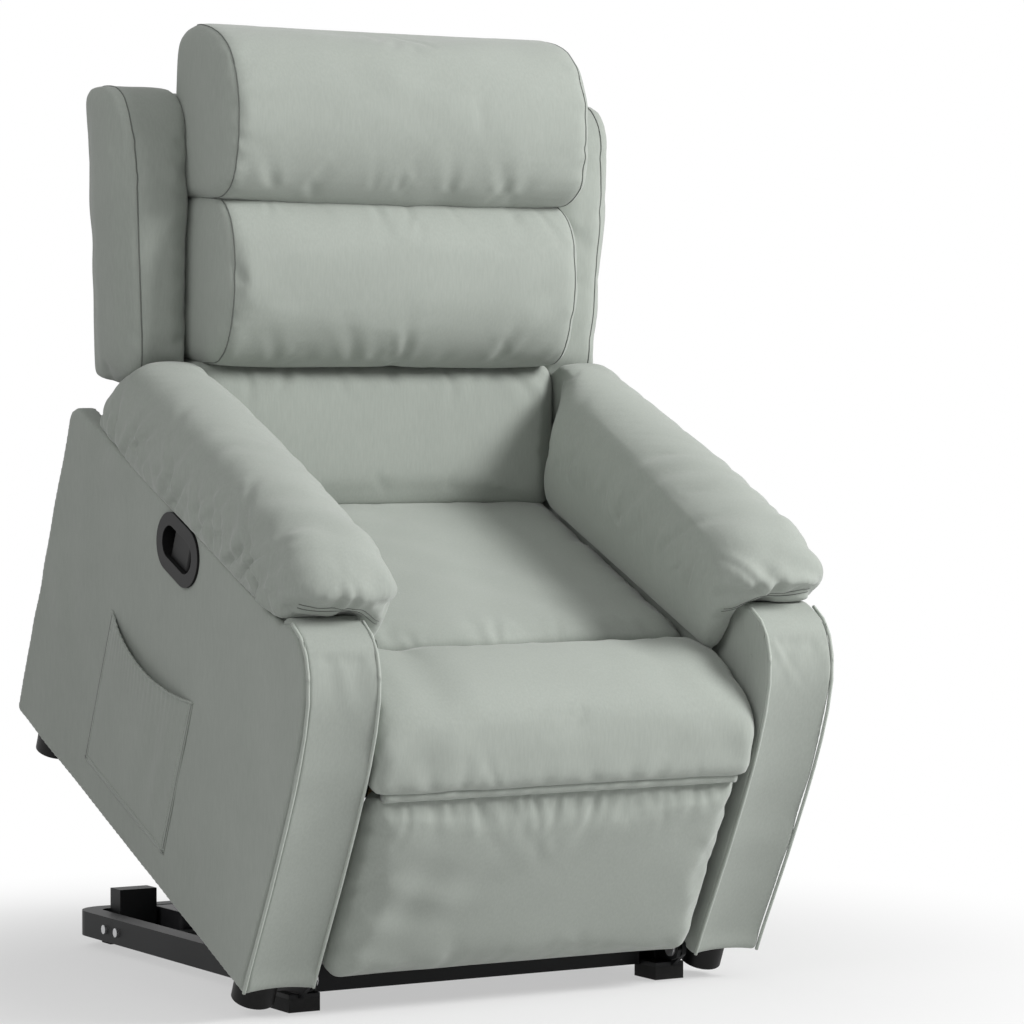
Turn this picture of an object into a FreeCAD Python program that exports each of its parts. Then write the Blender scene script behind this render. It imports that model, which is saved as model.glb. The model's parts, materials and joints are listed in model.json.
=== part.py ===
"""Lift recliner chair, shown lifted: a steel floor frame, an actuator, and the upholstered chair it tips forward.

Row frame: millimetres, +Z up, +X across the chair, the chair faces -Y, floor at z = 0.
Chair frame (pieces the lift carries): y = 0 at the arm panels' rear edge and negative towards the front,
z = 0 at the arm panels' lower edge. The lift hinge tips that whole frame by lift_angle.
Back frame (pieces the backrest carries): z runs up the leaning back, -y is its front, origin on the recline pins.
"""
import FreeCAD, Part
import os
import re

import Sketcher

doc = FreeCAD.newDocument("LiftRecliner")
V = FreeCAD.Vector

SIZES = {
    # lift hinge
    "lift_angle": 23.75, "hinge_row_y": -261, "hinge_row_z": 45, "hinge_setback": 5, "hinge_drop": 9,
    "hinge_pin_r": 8, "hinge_ear_wall": 8, "running_gap": 0.05, "side_gap": 1.5, "plate": 6,
    # floor frame
    "base_inset": 6, "base_rear_inset": 7, "base_leg_long": 137, "base_front_gap": 51, "tube_wide": 30,
    "tube_tall": 36, "tube_wall": 2.5, "base_foot_rise": 18, "base_bend": 45, "foot_pad_wide": 46,
    "foot_pad_long": 54, "front_foot_overhang": 20, "front_foot_gap": 12, "rest_inset": 3, "rest_wide": 59,
    "rest_long": 34, "rest_rise": 30, "cross_bar_deep": 24, "cross_bar_tall": 12, "tray_sheet": 2.5,
    "tray_inset": 48,
    # actuator
    "motor_pin_gap": 18, "motor_pin_rise": 6, "drive_depth": 561, "drive_rise": 91, "motor_pin_r": 6,
    "eye_r": 15, "eye_wide": 30, "gear_start": 36, "gear_long": 78, "gear_wide": 62, "gear_tall": 54,
    "motor_r": 25, "motor_long": 135, "motor_side": 44, "outer_tube_r": 17, "outer_tube_end": 405,
    "rod_r": 9.5, "rod_inside": 80, "drive_eye_wall": 7, "drive_slack": 5, "drive_pin_r": 8,
    # lift frame
    "rail_inset": 13, "rail_wide": 30, "rail_low": 12, "rail_tall": 30, "rail_back": 85, "rail_setback": 36,
    "rest_gap": 0.4, "cross_tube": 30, "drive_tube_gap": 24, "drive_ear_gap": 1,
    # arm boxes
    "arm_outer": 401, "arm_inner": 294, "panel_thick": 28, "inner_thick": 26, "panel_top": 486,
    "arm_board_depth": 756, "front_foot_reach": 30, "front_shin_z": 68, "front_belly_reach": 50,
    "front_belly_z": 294, "front_brow_reach": 41, "front_brow_drop": 84, "front_top_reach": 33,
    "front_top_drop": 31, "pad_gap": 0.5, "pad_proud": 7, "pad_tall": 114, "pad_rear": 82, "pad_setback": 21,
    "pad_roll": 42, "pad_roll_drop": 46, "pad_roll_rear": 195, "pad_step_in": 3, "pad_soft": 24,
    "block_tall": 42, "block_long": 60, "foot_r": 29, "foot_tall": 45, "foot_inset": 51,
    "foot_rear_depth": 44, "foot_front_setback": 26,
    # seat
    "seat_rail_low": 255, "seat_rail_tall": 30, "seat_rail_wide": 28, "seat_rail_back": 60,
    "seat_rail_setback": 14, "spring_wire": 4, "spring_count": 6, "spring_swing": 16, "spring_pitch": 40,
    "seat_thick": 123, "seat_back": 150, "seat_seam_setback": 148, "seat_side_gap": 5,
    "seat_soft": 22, "roll_reach": 66, "roll_rise": 18,
    # rear panel
    "rear_panel_depth": 12, "rear_panel_thick": 20, "rear_panel_low": 18, "rear_panel_drop": 38,
    # back
    "back_pivot_depth": 85, "back_pivot_rise": 145, "back_lean": 20.5, "post_gap": 1, "post_wide": 26,
    "post_deep": 26, "post_top": 500, "post_end_wall": 8, "recline_pin_r": 8, "recline_plate": 4,
    "recline_plate_wall": 14, "back_board": 27, "outer_back_top": 552, "outer_back_low": 4,
    "back_rail_low": 22, "back_rail_tall": 26, "back_rail_high": 470, "soft_gap": 0.3,
    "head_low": 378, "head_tall": 236, "head_front": 190, "lumbar_low": 148, "lumbar_top": 371,
    "lumbar_front": 178, "lower_top": 142, "lower_front": 112, "lower_drop": 48,
    "wing_inset": 2, "wing_lift": 60, "wing_top": 520, "wing_front": 78, "wing_crown": 36,
    "band_count": 6, "band_tall": 45, "band_thick": 2,
    # legrest
    "leg_pivot_reach": 50, "leg_pivot_rise": 8, "leg_pin_r": 3.5, "leg_ear_wall": 3.5, "leg_ear_inset": 94,
    "leg_ear_thick": 5, "leg_side_gap": 12, "leg_board_thick": 15, "leg_board_drop": 1, "leg_board_low": 14,
    "leg_low_reach": 40, "leg_top_reach": 57, "leg_pad_low": 5, "leg_pad_thick": 42, "leg_soft": 14,
    # storage pocket
    "pocket_back": 238, "pocket_long": 274, "pocket_low": 50, "pocket_tall": 228, "pocket_open": 10,
    "pocket_foot": 6, "pocket_wall": 1.5,
    # release handle
    "handle_depth": 392, "handle_drop": 41, "cup_long": 128, "cup_tall": 80, "cup_rim": 4, "cup_ring": 15,
    "cup_deep": 24, "cup_floor": 3, "cut_gap": 0.5, "lever_long": 46, "lever_thick": 5, "lever_tall": 42,
    "lever_pin_r": 2.5, "lever_knuckle_r": 5, "lever_sink": 8,
    # electrical box
    "box_long": 125, "box_wide": 90, "box_tall": 34, "box_side": 48, "box_setback": 4, "box_corner": 6,
    "inlet_r": 9,
    # fasteners, and how far a cut runs past the face it opens
    "head_rim": 3, "bolt_r": 6.5, "bolt_head": 4, "bolt_reach": 20, "cut_past": 2,
    # hinge plates, lugs and soft edges
    "bracket_long": 70, "lug_root": 80, "panel_soft": 9, "front_soft": 7, "foot_neck": 6, "foot_step": 4,
    "spring_inset": 40,
}

# what follows from the sizes above, as expressions of them
WORKED_OUT = {
    "base_half": "(arm_inner - base_inset)",
    "hinge_depth": "(arm_board_depth - hinge_setback)",
    "hinge_ear_r": "(hinge_pin_r + hinge_ear_wall)",
    "base_rear_y": "(hinge_row_y + hinge_depth - base_rear_inset)",
    "base_joint_y": "(base_rear_y - base_leg_long)",
    "base_front_y": "(hinge_row_y + base_front_gap)",
    "front_foot_y": "(hinge_row_y + front_foot_gap)",
    "front_foot_half": "(base_half + front_foot_overhang)",
    "rest_x": "(base_half - base_bend - rest_inset)",
    "base_top": "(base_foot_rise + tube_tall)",
    "rest_top": "(base_top + rest_rise)",
    "tray_half": "(base_half - tube_wide - tray_inset)",
    "motor_pin_y": "(base_rear_y - tube_wide - motor_pin_gap)",
    "motor_pin_z": "(base_top + motor_pin_rise)",
    "rail_x": "(base_half - rail_inset - rail_wide)",
    "rail_top": "(rail_low + rail_tall)",
    "rail_front": "(arm_board_depth - rail_setback)",
    "cross_front_depth": "(rail_front - cross_tube)",
    "drive_tube_depth": "(drive_depth + drive_tube_gap)",
    "front_foot_depth": "(arm_board_depth + front_foot_reach)",
    "front_belly": "(arm_board_depth + front_belly_reach)",
    "front_brow": "(arm_board_depth + front_brow_reach)",
    "front_top": "(arm_board_depth + front_top_reach)",
    "front_brow_z": "(panel_top - front_brow_drop)",
    "front_top_z": "(panel_top - front_top_drop)",
    "pad_outer": "(arm_outer + pad_proud)",
    "pad_inner": "(arm_inner - pad_roll)",
    "pad_step": "(arm_inner - pad_step_in)",
    "pad_top": "(panel_top + pad_tall)",
    "pad_front": "(arm_board_depth - pad_setback)",
    "foot_side": "(arm_outer - foot_inset)",
    "foot_front_depth": "(arm_board_depth - foot_front_setback)",
    "seat_rail_front": "(arm_board_depth - seat_rail_setback)",
    "seat_seam": "(arm_board_depth - seat_seam_setback)",
    "seat_half": "(arm_inner - seat_side_gap)",
    "rail_roof": "(seat_rail_low + seat_rail_tall)",
    "seat_top": "(rail_roof + seat_thick)",
    "roll_front": "(arm_board_depth + roll_reach)",
    "roll_low": "(rail_roof + roll_rise)",
    "back_pivot_z": "(rail_roof + back_pivot_rise)",
    "rear_panel_top": "(back_pivot_z - rear_panel_drop)",
    "post_x": "(arm_inner - recline_plate - post_gap - post_wide)",
    "post_end_r": "(recline_pin_r + post_end_wall)",
    "recline_plate_r": "(recline_pin_r + recline_plate_wall)",
    "outer_back": "(post_deep + back_board)",
    "head_top": "(head_low + head_tall)",
    "wing_outer": "(arm_outer - wing_inset)",
    "wing_foot": "(panel_top - back_pivot_z + wing_lift)",
    "leg_pivot_depth": "(arm_board_depth + leg_pivot_reach)",
    "leg_pivot_z": "(rail_roof + leg_pivot_rise)",
    "leg_ear_r": "(leg_pin_r + leg_ear_wall)",
    "leg_ear_x": "(arm_inner - leg_ear_inset)",
    "leg_half": "(arm_inner - leg_side_gap)",
    "leg_board_top": "(rail_roof - leg_board_drop)",
    "leg_face_low": "(arm_board_depth + leg_low_reach)",
    "leg_face_top": "(arm_board_depth + leg_top_reach)",
    "pocket_front": "(pocket_back + pocket_long)",
    "pocket_top": "(pocket_low + pocket_tall)",
    "handle_z": "(panel_top - handle_drop)",
    "rod_eye_r": "(drive_pin_r + drive_slack + drive_eye_wall)",
}

sheet = doc.addObject("Spreadsheet::Sheet", "Sizes")
for row, (alias, value) in enumerate(SIZES.items(), start=1):
    sheet.set("A%d" % row, alias)
    sheet.set("B%d" % row, repr(value))
    sheet.setAlias("B%d" % row, alias)
doc.recompute()

NAMES = re.compile(r"\b[a-z_]+\b")
ACROSS, ALONG, UP = V(1, 0, 0), V(0, 1, 0), V(0, 0, 1)
SIDES = (("left", 1), ("right", -1))
pieces = []
probe = doc.addObject("Part::Vertex", "Probe")


def cells(text):
    """The same expression in sheet cells: worked-out names are written out and sizes point at their cell."""
    def meaning(match):
        name = match.group(0)
        if name in WORKED_OUT:
            return cells(WORKED_OUT[name])
        return "Sizes." + name if name in SIZES else name

    return NAMES.sub(meaning, text)


def value(text):
    """The number that an expression gives."""
    probe.setExpression("X", cells(text))
    probe.recompute()
    return probe.X.Value


def row_place(depth, rise):
    """Row y and z of a chair-frame point given as depth behind y = 0 and rise."""
    turn = "(lift_angle * 1deg)"
    y = f"hinge_row_y + (hinge_depth - ({depth})) * cos({turn}) - (({rise}) + hinge_drop) * sin({turn})"
    z = f"hinge_row_z + (hinge_depth - ({depth})) * sin({turn}) + (({rise}) + hinge_drop) * cos({turn})"
    return y, z


class Piece:
    """One sub-part: a body whose features are bound to the sheet, placed in the row, chair or back frame."""

    def __init__(self, label, carried="row"):
        self.body = doc.addObject("PartDesign::Body", label)
        self.body.Label = label
        self.carried = carried
        self.count = 0
        if carried == "chair":
            self.stand(*row_place("0", "0"), "lift_angle")
        elif carried == "back":
            self.stand(*row_place("back_pivot_depth", "back_pivot_z"), "lift_angle - back_lean")
        elif carried == "actuator":
            drive_y, drive_z = row_place("drive_depth", "drive_rise")
            slope = f"-atan(({drive_z} - motor_pin_z) / (motor_pin_y - ({drive_y})))"
            self.stand("motor_pin_y", "motor_pin_z", slope)
        pieces.append(self)

    def stand(self, y, z, turn):
        self.body.Placement = FreeCAD.Placement(V(0, 0, 0), FreeCAD.Rotation(ACROSS, 1))
        self.body.setExpression("Placement.Base.y", cells(y))
        self.body.setExpression("Placement.Base.z", cells(z))
        self.body.setExpression("Placement.Rotation.Angle", cells(turn))

    def feature(self, kind):
        self.count += 1
        return self.body.newObject(kind, "%s_%02d" % (self.body.Label, self.count))

    def bind(self, item, **sizes):
        for name, text in sizes.items():
            item.setExpression(name, cells(text))
        return item

    def block(self, x, y, z, cut=False):
        """A box between three (low, high) pairs."""
        box = self.feature("PartDesign::SubtractiveBox" if cut else "PartDesign::AdditiveBox")
        spans = dict(Length=x, Width=y, Height=z)
        self.bind(box, **{name: f"({high}) - ({low})" for name, (low, high) in spans.items()})
        return self.at(box, x[0], y[0], z[0])

    def at(self, item, x, y, z):
        for name, text in (("x", x), ("y", y), ("z", z)):
            item.setExpression("Placement.Base." + name, cells(text))
        return item

    def rod(self, axis, radius, length, x, y, z, cut=False):
        """A cylinder from a point along an axis."""
        kind = "PartDesign::SubtractiveCylinder" if cut else "PartDesign::AdditiveCylinder"
        item = self.feature(kind)
        item.Placement = FreeCAD.Placement(V(0, 0, 0), FreeCAD.Rotation(UP, axis))
        self.bind(item, Radius=radius, Height=length)
        return self.at(item, x, y, z)

    def outline(self, plane, points, start, length, cut=False):
        """A closed outline in an origin plane, padded or pocketed from a start offset along the normal."""
        sketch = self.feature("Sketcher::SketchObject")
        origin = [item for item in self.body.Origin.OriginFeatures if item.Role == plane]
        sketch.AttachmentSupport = [(origin[0], "")]
        sketch.MapMode = "FlatFace"
        sketch.setExpression("AttachmentOffset.Base.z", cells(start))
        total = len(points)
        for index in range(total):
            turn, onward = index / total, (index + 1) / total
            rough = [V(*FreeCAD.Rotation(UP, 360 * part).multVec(V(99, 0, 0))) for part in (turn, onward)]
            sketch.addGeometry(Part.LineSegment(*rough), False)
        for index in range(total):
            sketch.addConstraint(Sketcher.Constraint("Coincident", index, 2, (index + 1) % total, 1))
        for index, point in enumerate(points):
            for kind, text in zip(("DistanceX", "DistanceY"), point):
                number = sketch.addConstraint(Sketcher.Constraint(kind, -1, 1, index, 1, 1.0 + index))
                sketch.setExpression("Constraints[%d]" % number, cells(text))
        solid = self.feature("PartDesign::Pocket" if cut else "PartDesign::Pad")
        solid.Profile = sketch
        if cut:
            solid.Reversed = True
        self.bind(solid, Length=length)
        sketch.Visibility = False
        return solid

    def side(self, points, x, cut=False):
        """An outline of (y, z) points seen from the side, between two x."""
        return self.outline("YZ_Plane", points, x[0], f"({x[1]}) - ({x[0]})", cut)

    def plan(self, points, z, cut=False):
        """An outline of (x, y) points seen from above, between two z."""
        return self.outline("XY_Plane", points, z[0], f"({z[1]}) - ({z[0]})", cut)

    def rounded(self, radius, pick):
        """Fillet on the edges that pick accepts."""
        doc.recompute()
        tip = self.body.Tip
        names = ["Edge%d" % (i + 1) for i, edge in enumerate(tip.Shape.Edges) if pick(edge)]
        fillet = self.feature("PartDesign::Fillet")
        fillet.Base = (tip, names)
        self.bind(fillet, Radius=radius)
        return fillet


def runs(direction):
    """Edge test: straight and parallel to a direction."""
    def test(edge):
        if edge.Curve.TypeId != "Part::GeomLine":
            return False
        return edge.Curve.Direction.cross(direction).Length < 1e-6
    return test


def mirrored(low, high, side):
    """An x span on one side of the chair."""
    return (low, high) if side > 0 else (f"-({high})", f"-({low})")


def tube(piece, x, y, z, axis):
    """A rectangular tube along one axis, open at both ends."""
    piece.block(x, y, z)
    inner = []
    for span, name in ((x, "x"), (y, "y"), (z, "z")):
        shrink = "-1" if name == axis else "tube_wall"
        inner.append((f"({span[0]}) + ({shrink})", f"({span[1]}) - ({shrink})"))
    piece.block(*inner, cut=True)


# ---------------------------------------------------------------- floor frame

def make_base_rear_cross():
    """U-shaped rear tube with bent corners, its legs pointing forward."""
    piece = Piece("base_rear_cross")
    outer = [("-base_half", "base_joint_y"), ("-base_half", "base_rear_y"),
             ("base_half", "base_rear_y"), ("base_half", "base_joint_y")]
    inner = [("base_half - tube_wide", "base_joint_y"), ("base_half - tube_wide", "base_rear_y - tube_wide"),
             ("tube_wide - base_half", "base_rear_y - tube_wide"), ("tube_wide - base_half", "base_joint_y")]
    piece.plan(outer + inner, ("base_foot_rise", "base_top"))
    rear = value("base_rear_y - tube_wide")

    def outer_corner(edge):
        return runs(UP)(edge) and edge.Vertexes[0].Y > rear + 1

    def inner_corner(edge):
        return runs(UP)(edge) and abs(edge.Vertexes[0].Y - rear) < 1

    piece.rounded("base_bend", outer_corner)
    piece.rounded("base_bend - tube_wide", inner_corner)


def make_base_rails():
    for name, side in SIDES:
        piece = Piece("base_rail_" + name)
        tube(piece, mirrored("base_half - tube_wide", "base_half", side),
             ("base_front_y", "base_joint_y"), ("base_foot_rise", "base_top"), "y")


def make_base_cross_bar():
    """Flat bar between the rails where the rear tube joins them."""
    piece = Piece("base_cross_bar")
    half = "base_half - tube_wide"
    piece.block((f"-({half})", half), ("base_joint_y - cross_bar_deep", "base_joint_y"),
                ("base_foot_rise", "base_foot_rise + cross_bar_tall"))


def make_base_tray():
    """Sheet floor between the cross bar and the rear tube, with a turned-up lip on the cross bar."""
    piece = Piece("base_tray")
    span = ("-tray_half", "tray_half")
    piece.block(span, ("base_joint_y", "base_rear_y - tube_wide"),
                ("base_foot_rise", "base_foot_rise + tray_sheet"))
    piece.block(span, ("base_joint_y", "base_joint_y + tray_sheet"),
                ("base_foot_rise", "base_foot_rise + cross_bar_tall"))


def make_base_front_cross():
    piece = Piece("base_front_cross")
    half = "base_half - tube_wide"
    tube(piece, (f"-({half})", half), ("base_front_y", "base_front_y + tube_wide"),
         ("base_foot_rise", "base_top"), "x")


def make_hinge_brackets():
    """Plates on the rails' outer faces: an ear round each lift pin, and a shelf that stands on the front foot."""
    piece = Piece("hinge_brackets")
    reach = "hinge_row_y - hinge_ear_r"
    for name, side in SIDES:
        plate = mirrored("base_half", "base_half + plate", side)
        shape = [("base_front_y + bracket_long", "base_foot_rise"), ("base_front_y + bracket_long", "base_top"),
                 ("hinge_row_y", "hinge_row_z + hinge_ear_r"), (reach, "hinge_row_z + hinge_ear_r / 2"),
                 (reach, "hinge_row_z - hinge_ear_r / 2"), ("front_foot_y", "base_foot_rise")]
        piece.side(shape, plate)
        piece.block(mirrored("front_foot_half - foot_pad_wide", "front_foot_half", side),
                    ("front_foot_y", "base_front_y"), ("base_foot_rise", "base_foot_rise + plate"))
        piece.rod(ACROSS, "hinge_pin_r + running_gap", "plate + 2 * cut_past", f"{plate[0]} - cut_past",
                  "hinge_row_y", "hinge_row_z", cut=True)


def make_lift_pins():
    """Headed pins that the whole chair tips on; they pass the base ears and the lift frame's lugs."""
    piece = Piece("lift_pins")
    lug = "base_half - side_gap - plate"
    for name, side in SIDES:
        shaft = mirrored(f"{lug} - 4", "base_half + plate - 2", side)
        piece.rod(ACROSS, "hinge_pin_r", f"({shaft[1]}) - ({shaft[0]})", shaft[0],
                  "hinge_row_y", "hinge_row_z")
        head = mirrored(f"{lug} - 4", f"{lug} - 0.5", side)
        piece.rod(ACROSS, "hinge_pin_r + head_rim", "3.5", head[0], "hinge_row_y", "hinge_row_z")


def make_base_feet():
    """Rubber floor pads: two under the front plates, two under the rear tube."""
    piece = Piece("base_feet")
    for name, side in SIDES:
        piece.block(mirrored("front_foot_half - foot_pad_wide", "front_foot_half", side),
                    ("front_foot_y", "front_foot_y + foot_pad_long"), ("0", "base_foot_rise"))
        piece.block(mirrored("rest_x - foot_pad_long", "rest_x", side),
                    ("base_rear_y - tube_wide", "base_rear_y"), ("0", "base_foot_rise"))


def make_rest_blocks():
    """Posts in front of the rear tube that the lowered chair sits down on."""
    piece = Piece("rest_blocks")
    for name, side in SIDES:
        piece.block(mirrored("rest_x - rest_wide", "rest_x", side),
                    ("base_rear_y - tube_wide - rest_long", "base_rear_y - tube_wide"),
                    ("base_foot_rise + tray_sheet", "rest_top"))


def make_motor_clevis():
    """Two ears on the rear tube's front face that hold the actuator's rear eye."""
    piece = Piece("motor_clevis")
    face = "base_rear_y - tube_wide"
    ear = "eye_wide / 2 + side_gap"
    shape = [(face, "base_foot_rise + tray_sheet"), (face, "base_top"),
             ("motor_pin_y + eye_r * 0.6", "motor_pin_z + eye_r"), ("motor_pin_y - eye_r * 0.6", "motor_pin_z + eye_r"),
             ("motor_pin_y - eye_r", "motor_pin_z"), ("motor_pin_y - eye_r", "base_foot_rise + tray_sheet")]
    for name, side in SIDES:
        plate = mirrored(ear, f"{ear} + plate", side)
        piece.side(shape, plate)
        piece.rod(ACROSS, "motor_pin_r + running_gap", "plate + 2 * cut_past", f"{plate[0]} - cut_past",
                  "motor_pin_y", "motor_pin_z", cut=True)


def make_motor_pin():
    piece = Piece("motor_pin")
    half = "eye_wide / 2 + side_gap + plate"
    piece.rod(ACROSS, "motor_pin_r", f"2 * ({half} + 5)", f"-({half} + 5)", "motor_pin_y", "motor_pin_z")
    for name, side in SIDES:
        head = mirrored(f"{half} + 0.5", f"{half} + 5", side)
        piece.rod(ACROSS, "motor_pin_r + head_rim", "4.5", head[0], "motor_pin_y", "motor_pin_z")


def make_base_bolts():
    """Bolt heads that join the rear tube's legs to the rails."""
    piece = Piece("base_bolts")
    for name, side in SIDES:
        for reach in ("-bolt_reach", "bolt_reach"):
            head = mirrored("base_half", "base_half + bolt_head", side)
            piece.rod(ACROSS, "bolt_r", "bolt_head", head[0], f"base_joint_y + ({reach})", f"base_foot_rise + tube_tall / 2")


def make_control_box():
    """Electrical box on the tray, beside the actuator."""
    piece = Piece("control_box")
    low = "base_foot_rise + tray_sheet"
    piece.block(("-box_side - box_long", "-box_side"), ("base_joint_y + tray_sheet + box_setback", "base_joint_y + tray_sheet + box_setback + box_wide"),
                (low, f"{low} + box_tall"))
    piece.rounded("box_corner", runs(UP))


def make_power_inlet():
    """Round socket on the box's rear face."""
    piece = Piece("power_inlet")
    face = "base_joint_y + tray_sheet + box_setback + box_wide"
    height = "base_foot_rise + tray_sheet + box_tall / 2"
    piece.rod(ALONG, "inlet_r", "5", "-box_side - box_long / 2", face, height)
    piece.rod(ALONG, "inlet_r - 3", "4", "-box_side - box_long / 2", f"{face} + 2", height, cut=True)


# ---------------------------------------------------------------- actuator, along its own -Y from the rear pin

rear_pin_to_drive = ("(((motor_pin_y - ({0}))^2 + (({1}) - motor_pin_z)^2)^0.5)"
                     .format(*row_place("drive_depth", "drive_rise")))


def make_actuator_gearbox():
    piece = Piece("actuator_gearbox", "actuator")
    piece.rod(ACROSS, "eye_r", "eye_wide", "-eye_wide / 2", "0", "0")
    piece.block(("-eye_wide / 2", "eye_wide / 2"), ("-gear_start", "0"), ("-eye_r * 0.8", "eye_r * 0.8"))
    piece.block(("-gear_wide / 2", "gear_wide / 2"), ("-gear_start - gear_long", "-gear_start"),
                ("-gear_tall / 2", "gear_tall / 2"))
    piece.rod(ACROSS, "motor_pin_r + running_gap", "eye_wide + 2 * cut_past", "-eye_wide / 2 - cut_past", "0", "0", cut=True)


def make_actuator_motor():
    """Motor can that stands beside the outer tube on the gearbox's front face."""
    piece = Piece("actuator_motor", "actuator")
    start = "-gear_start - gear_long"
    piece.block(("gear_wide / 2", "motor_side + motor_r"), (start, "-gear_start - 30"),
                ("-gear_tall / 2 + 4", "gear_tall / 2 - 4"))
    piece.rod(V(0, -1, 0), "motor_r", "motor_long", "motor_side", start, "0")
    piece.rod(V(0, -1, 0), "motor_r * 0.4", "6", "motor_side", f"{start} - motor_long", "0")


def make_actuator_tube():
    piece = Piece("actuator_tube", "actuator")
    start, length = "-gear_start - gear_long", "outer_tube_end - gear_start - gear_long"
    piece.rod(V(0, -1, 0), "outer_tube_r", length, "0", start, "0")
    piece.rod(V(0, -1, 0), "rod_r + running_gap", f"{length} - 3", "0", f"{start} - 4", "0", cut=True)


def make_actuator_rod():
    """Chromed rod with an eye that drives the lift frame; the eye is slotted wide because it only pushes."""
    piece = Piece("actuator_rod", "actuator")
    reach = rear_pin_to_drive
    piece.rod(V(0, -1, 0), "rod_r", f"{reach} - rod_eye_r * 0.7 - outer_tube_end + rod_inside", "0",
              "-outer_tube_end + rod_inside", "0")
    piece.rod(ACROSS, "rod_eye_r", "eye_wide", "-eye_wide / 2", f"-({reach})", "0")
    piece.rod(ACROSS, "drive_pin_r + drive_slack", "eye_wide + 2 * cut_past", "-eye_wide / 2 - cut_past", f"-({reach})", "0", cut=True)


# ---------------------------------------------------------------- lift frame, in the chair frame

lowered_rail_end = "-hinge_depth + (base_front_y - hinge_row_y) - 6"


def make_lift_rails():
    """Long rails under the chair; each carries a lug that hangs down round its lift pin."""
    for name, side in SIDES:
        piece = Piece("lift_rail_" + name, "chair")
        piece.block(mirrored("rail_x", "rail_x + rail_wide", side), ("-rail_front", "-rail_back"),
                    ("rail_low", "rail_top"))
        lug = mirrored("base_half - side_gap - plate", "base_half - side_gap", side)
        inward = mirrored("rail_x + rail_wide", "base_half - side_gap", side)
        shape = [("-rail_front + lug_root", "rail_low"), ("-rail_front + lug_root", "rail_top"), ("-rail_front", "rail_top"),
                 ("-hinge_depth + 4", "-hinge_drop + hinge_ear_r"), ("-hinge_depth - hinge_ear_r", "-hinge_drop + 6"),
                 ("-hinge_depth - hinge_ear_r", "-hinge_drop - 6"), ("-hinge_depth - 6", "-hinge_drop - hinge_ear_r"),
                 ("-hinge_depth + 8", "-hinge_drop - hinge_ear_r"), ("-hinge_depth + hinge_ear_r + 6", "-hinge_drop - 4"),
                 (lowered_rail_end, "rail_low")]
        piece.side(shape, lug)
        piece.block(inward, ("-rail_front", "-rail_front + lug_root"), ("rail_low", "rail_top"))
        piece.rod(ACROSS, "hinge_pin_r + running_gap", "plate + 2 * cut_past", f"{lug[0]} - cut_past",
                  "-hinge_depth", "-hinge_drop", cut=True)


def make_lift_crosses():
    """Cross tubes that tie the arm boxes to the lift frame."""
    half = ("-arm_inner", "arm_inner")
    seat_on_rest = "rest_top + rest_gap - hinge_row_z - hinge_drop"
    rear = Piece("lift_cross_rear", "chair")
    tube(rear, half, ("-rail_back", "-rail_back + cross_tube"), (seat_on_rest, f"{seat_on_rest} + cross_tube"), "x")
    front = Piece("lift_cross_front", "chair")
    tube(front, half, ("-cross_front_depth - cross_tube", "-cross_front_depth"),
         ("rail_top", "rail_top + cross_tube"), "x")


def make_drive_tube():
    piece = Piece("drive_tube", "chair")
    tube(piece, ("-rail_x - rail_wide", "rail_x + rail_wide"),
         ("-drive_tube_depth - cross_tube", "-drive_tube_depth"), ("rail_top", "rail_top + cross_tube"), "x")


def make_drive_bracket():
    """Two ears on the drive tube that hold the drive pin."""
    piece = Piece("drive_bracket", "chair")
    foot = "rail_top + cross_tube"
    shape = [("-drive_tube_depth - cross_tube", foot), ("-drive_tube_depth", foot),
             ("-drive_depth + 15", "drive_rise - 13"), ("-drive_depth + 15", "drive_rise + 12"),
             ("-drive_depth - 4", "drive_rise + 18"), ("-drive_depth - 24", "drive_rise + 12")]
    for name, side in SIDES:
        plate = mirrored("eye_wide / 2 + drive_ear_gap", "eye_wide / 2 + drive_ear_gap + plate", side)
        piece.side(shape, plate)
        piece.rod(ACROSS, "drive_pin_r + running_gap", "plate + 2 * cut_past", f"{plate[0]} - cut_past",
                  "-drive_depth", "drive_rise", cut=True)


def make_drive_pin():
    piece = Piece("drive_pin", "chair")
    half = "eye_wide / 2 + drive_ear_gap + plate + 4"
    piece.rod(ACROSS, "drive_pin_r", f"2 * ({half})", f"-({half})", "-drive_depth", "drive_rise")
    for name, side in SIDES:
        head = mirrored(f"{half} - 4", half, side)
        piece.rod(ACROSS, "drive_pin_r + head_rim", "4", head[0], "-drive_depth", "drive_rise")


# ---------------------------------------------------------------- arm boxes

def make_side_panels():
    """Padded outer panels; the right one has the oval hole that the handle cup sits in."""
    for name, side in SIDES:
        piece = Piece("side_panel_" + name, "chair")
        piece.block(mirrored("arm_outer - panel_thick", "arm_outer", side), ("-arm_board_depth", "0"),
                    ("0", "panel_top"))
        piece.rounded("panel_soft", lambda edge: abs(abs(edge.CenterOfMass.x) - value("arm_outer")) < 0.01)
        if side < 0:
            oval(piece, ("-arm_outer - 5", "panel_thick + 10"), "cup_ring - cut_gap", cut=True)


def oval(piece, across, inset, cut=False):
    """A stadium along the arm, centred on the handle, narrowed all round by inset."""
    radius = f"(cup_tall / 2 - ({inset}))"
    reach = "(cup_long - cup_tall) / 2"
    piece.block((across[0], f"({across[0]}) + ({across[1]})"), (f"-handle_depth - {reach}", f"-handle_depth + {reach}"),
                (f"handle_z - {radius}", f"handle_z + {radius}"), cut=cut)
    for end in ("-", "+"):
        piece.rod(ACROSS, radius, across[1], across[0], f"-handle_depth {end} {reach}", "handle_z", cut=cut)


def make_arm_inners():
    """Inner arm boards beside the seat."""
    for name, side in SIDES:
        piece = Piece("arm_inner_" + name, "chair")
        piece.block(mirrored("arm_inner", "arm_inner + inner_thick", side), ("-arm_board_depth", "-seat_rail_back"),
                    ("0", "panel_top"))


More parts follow.
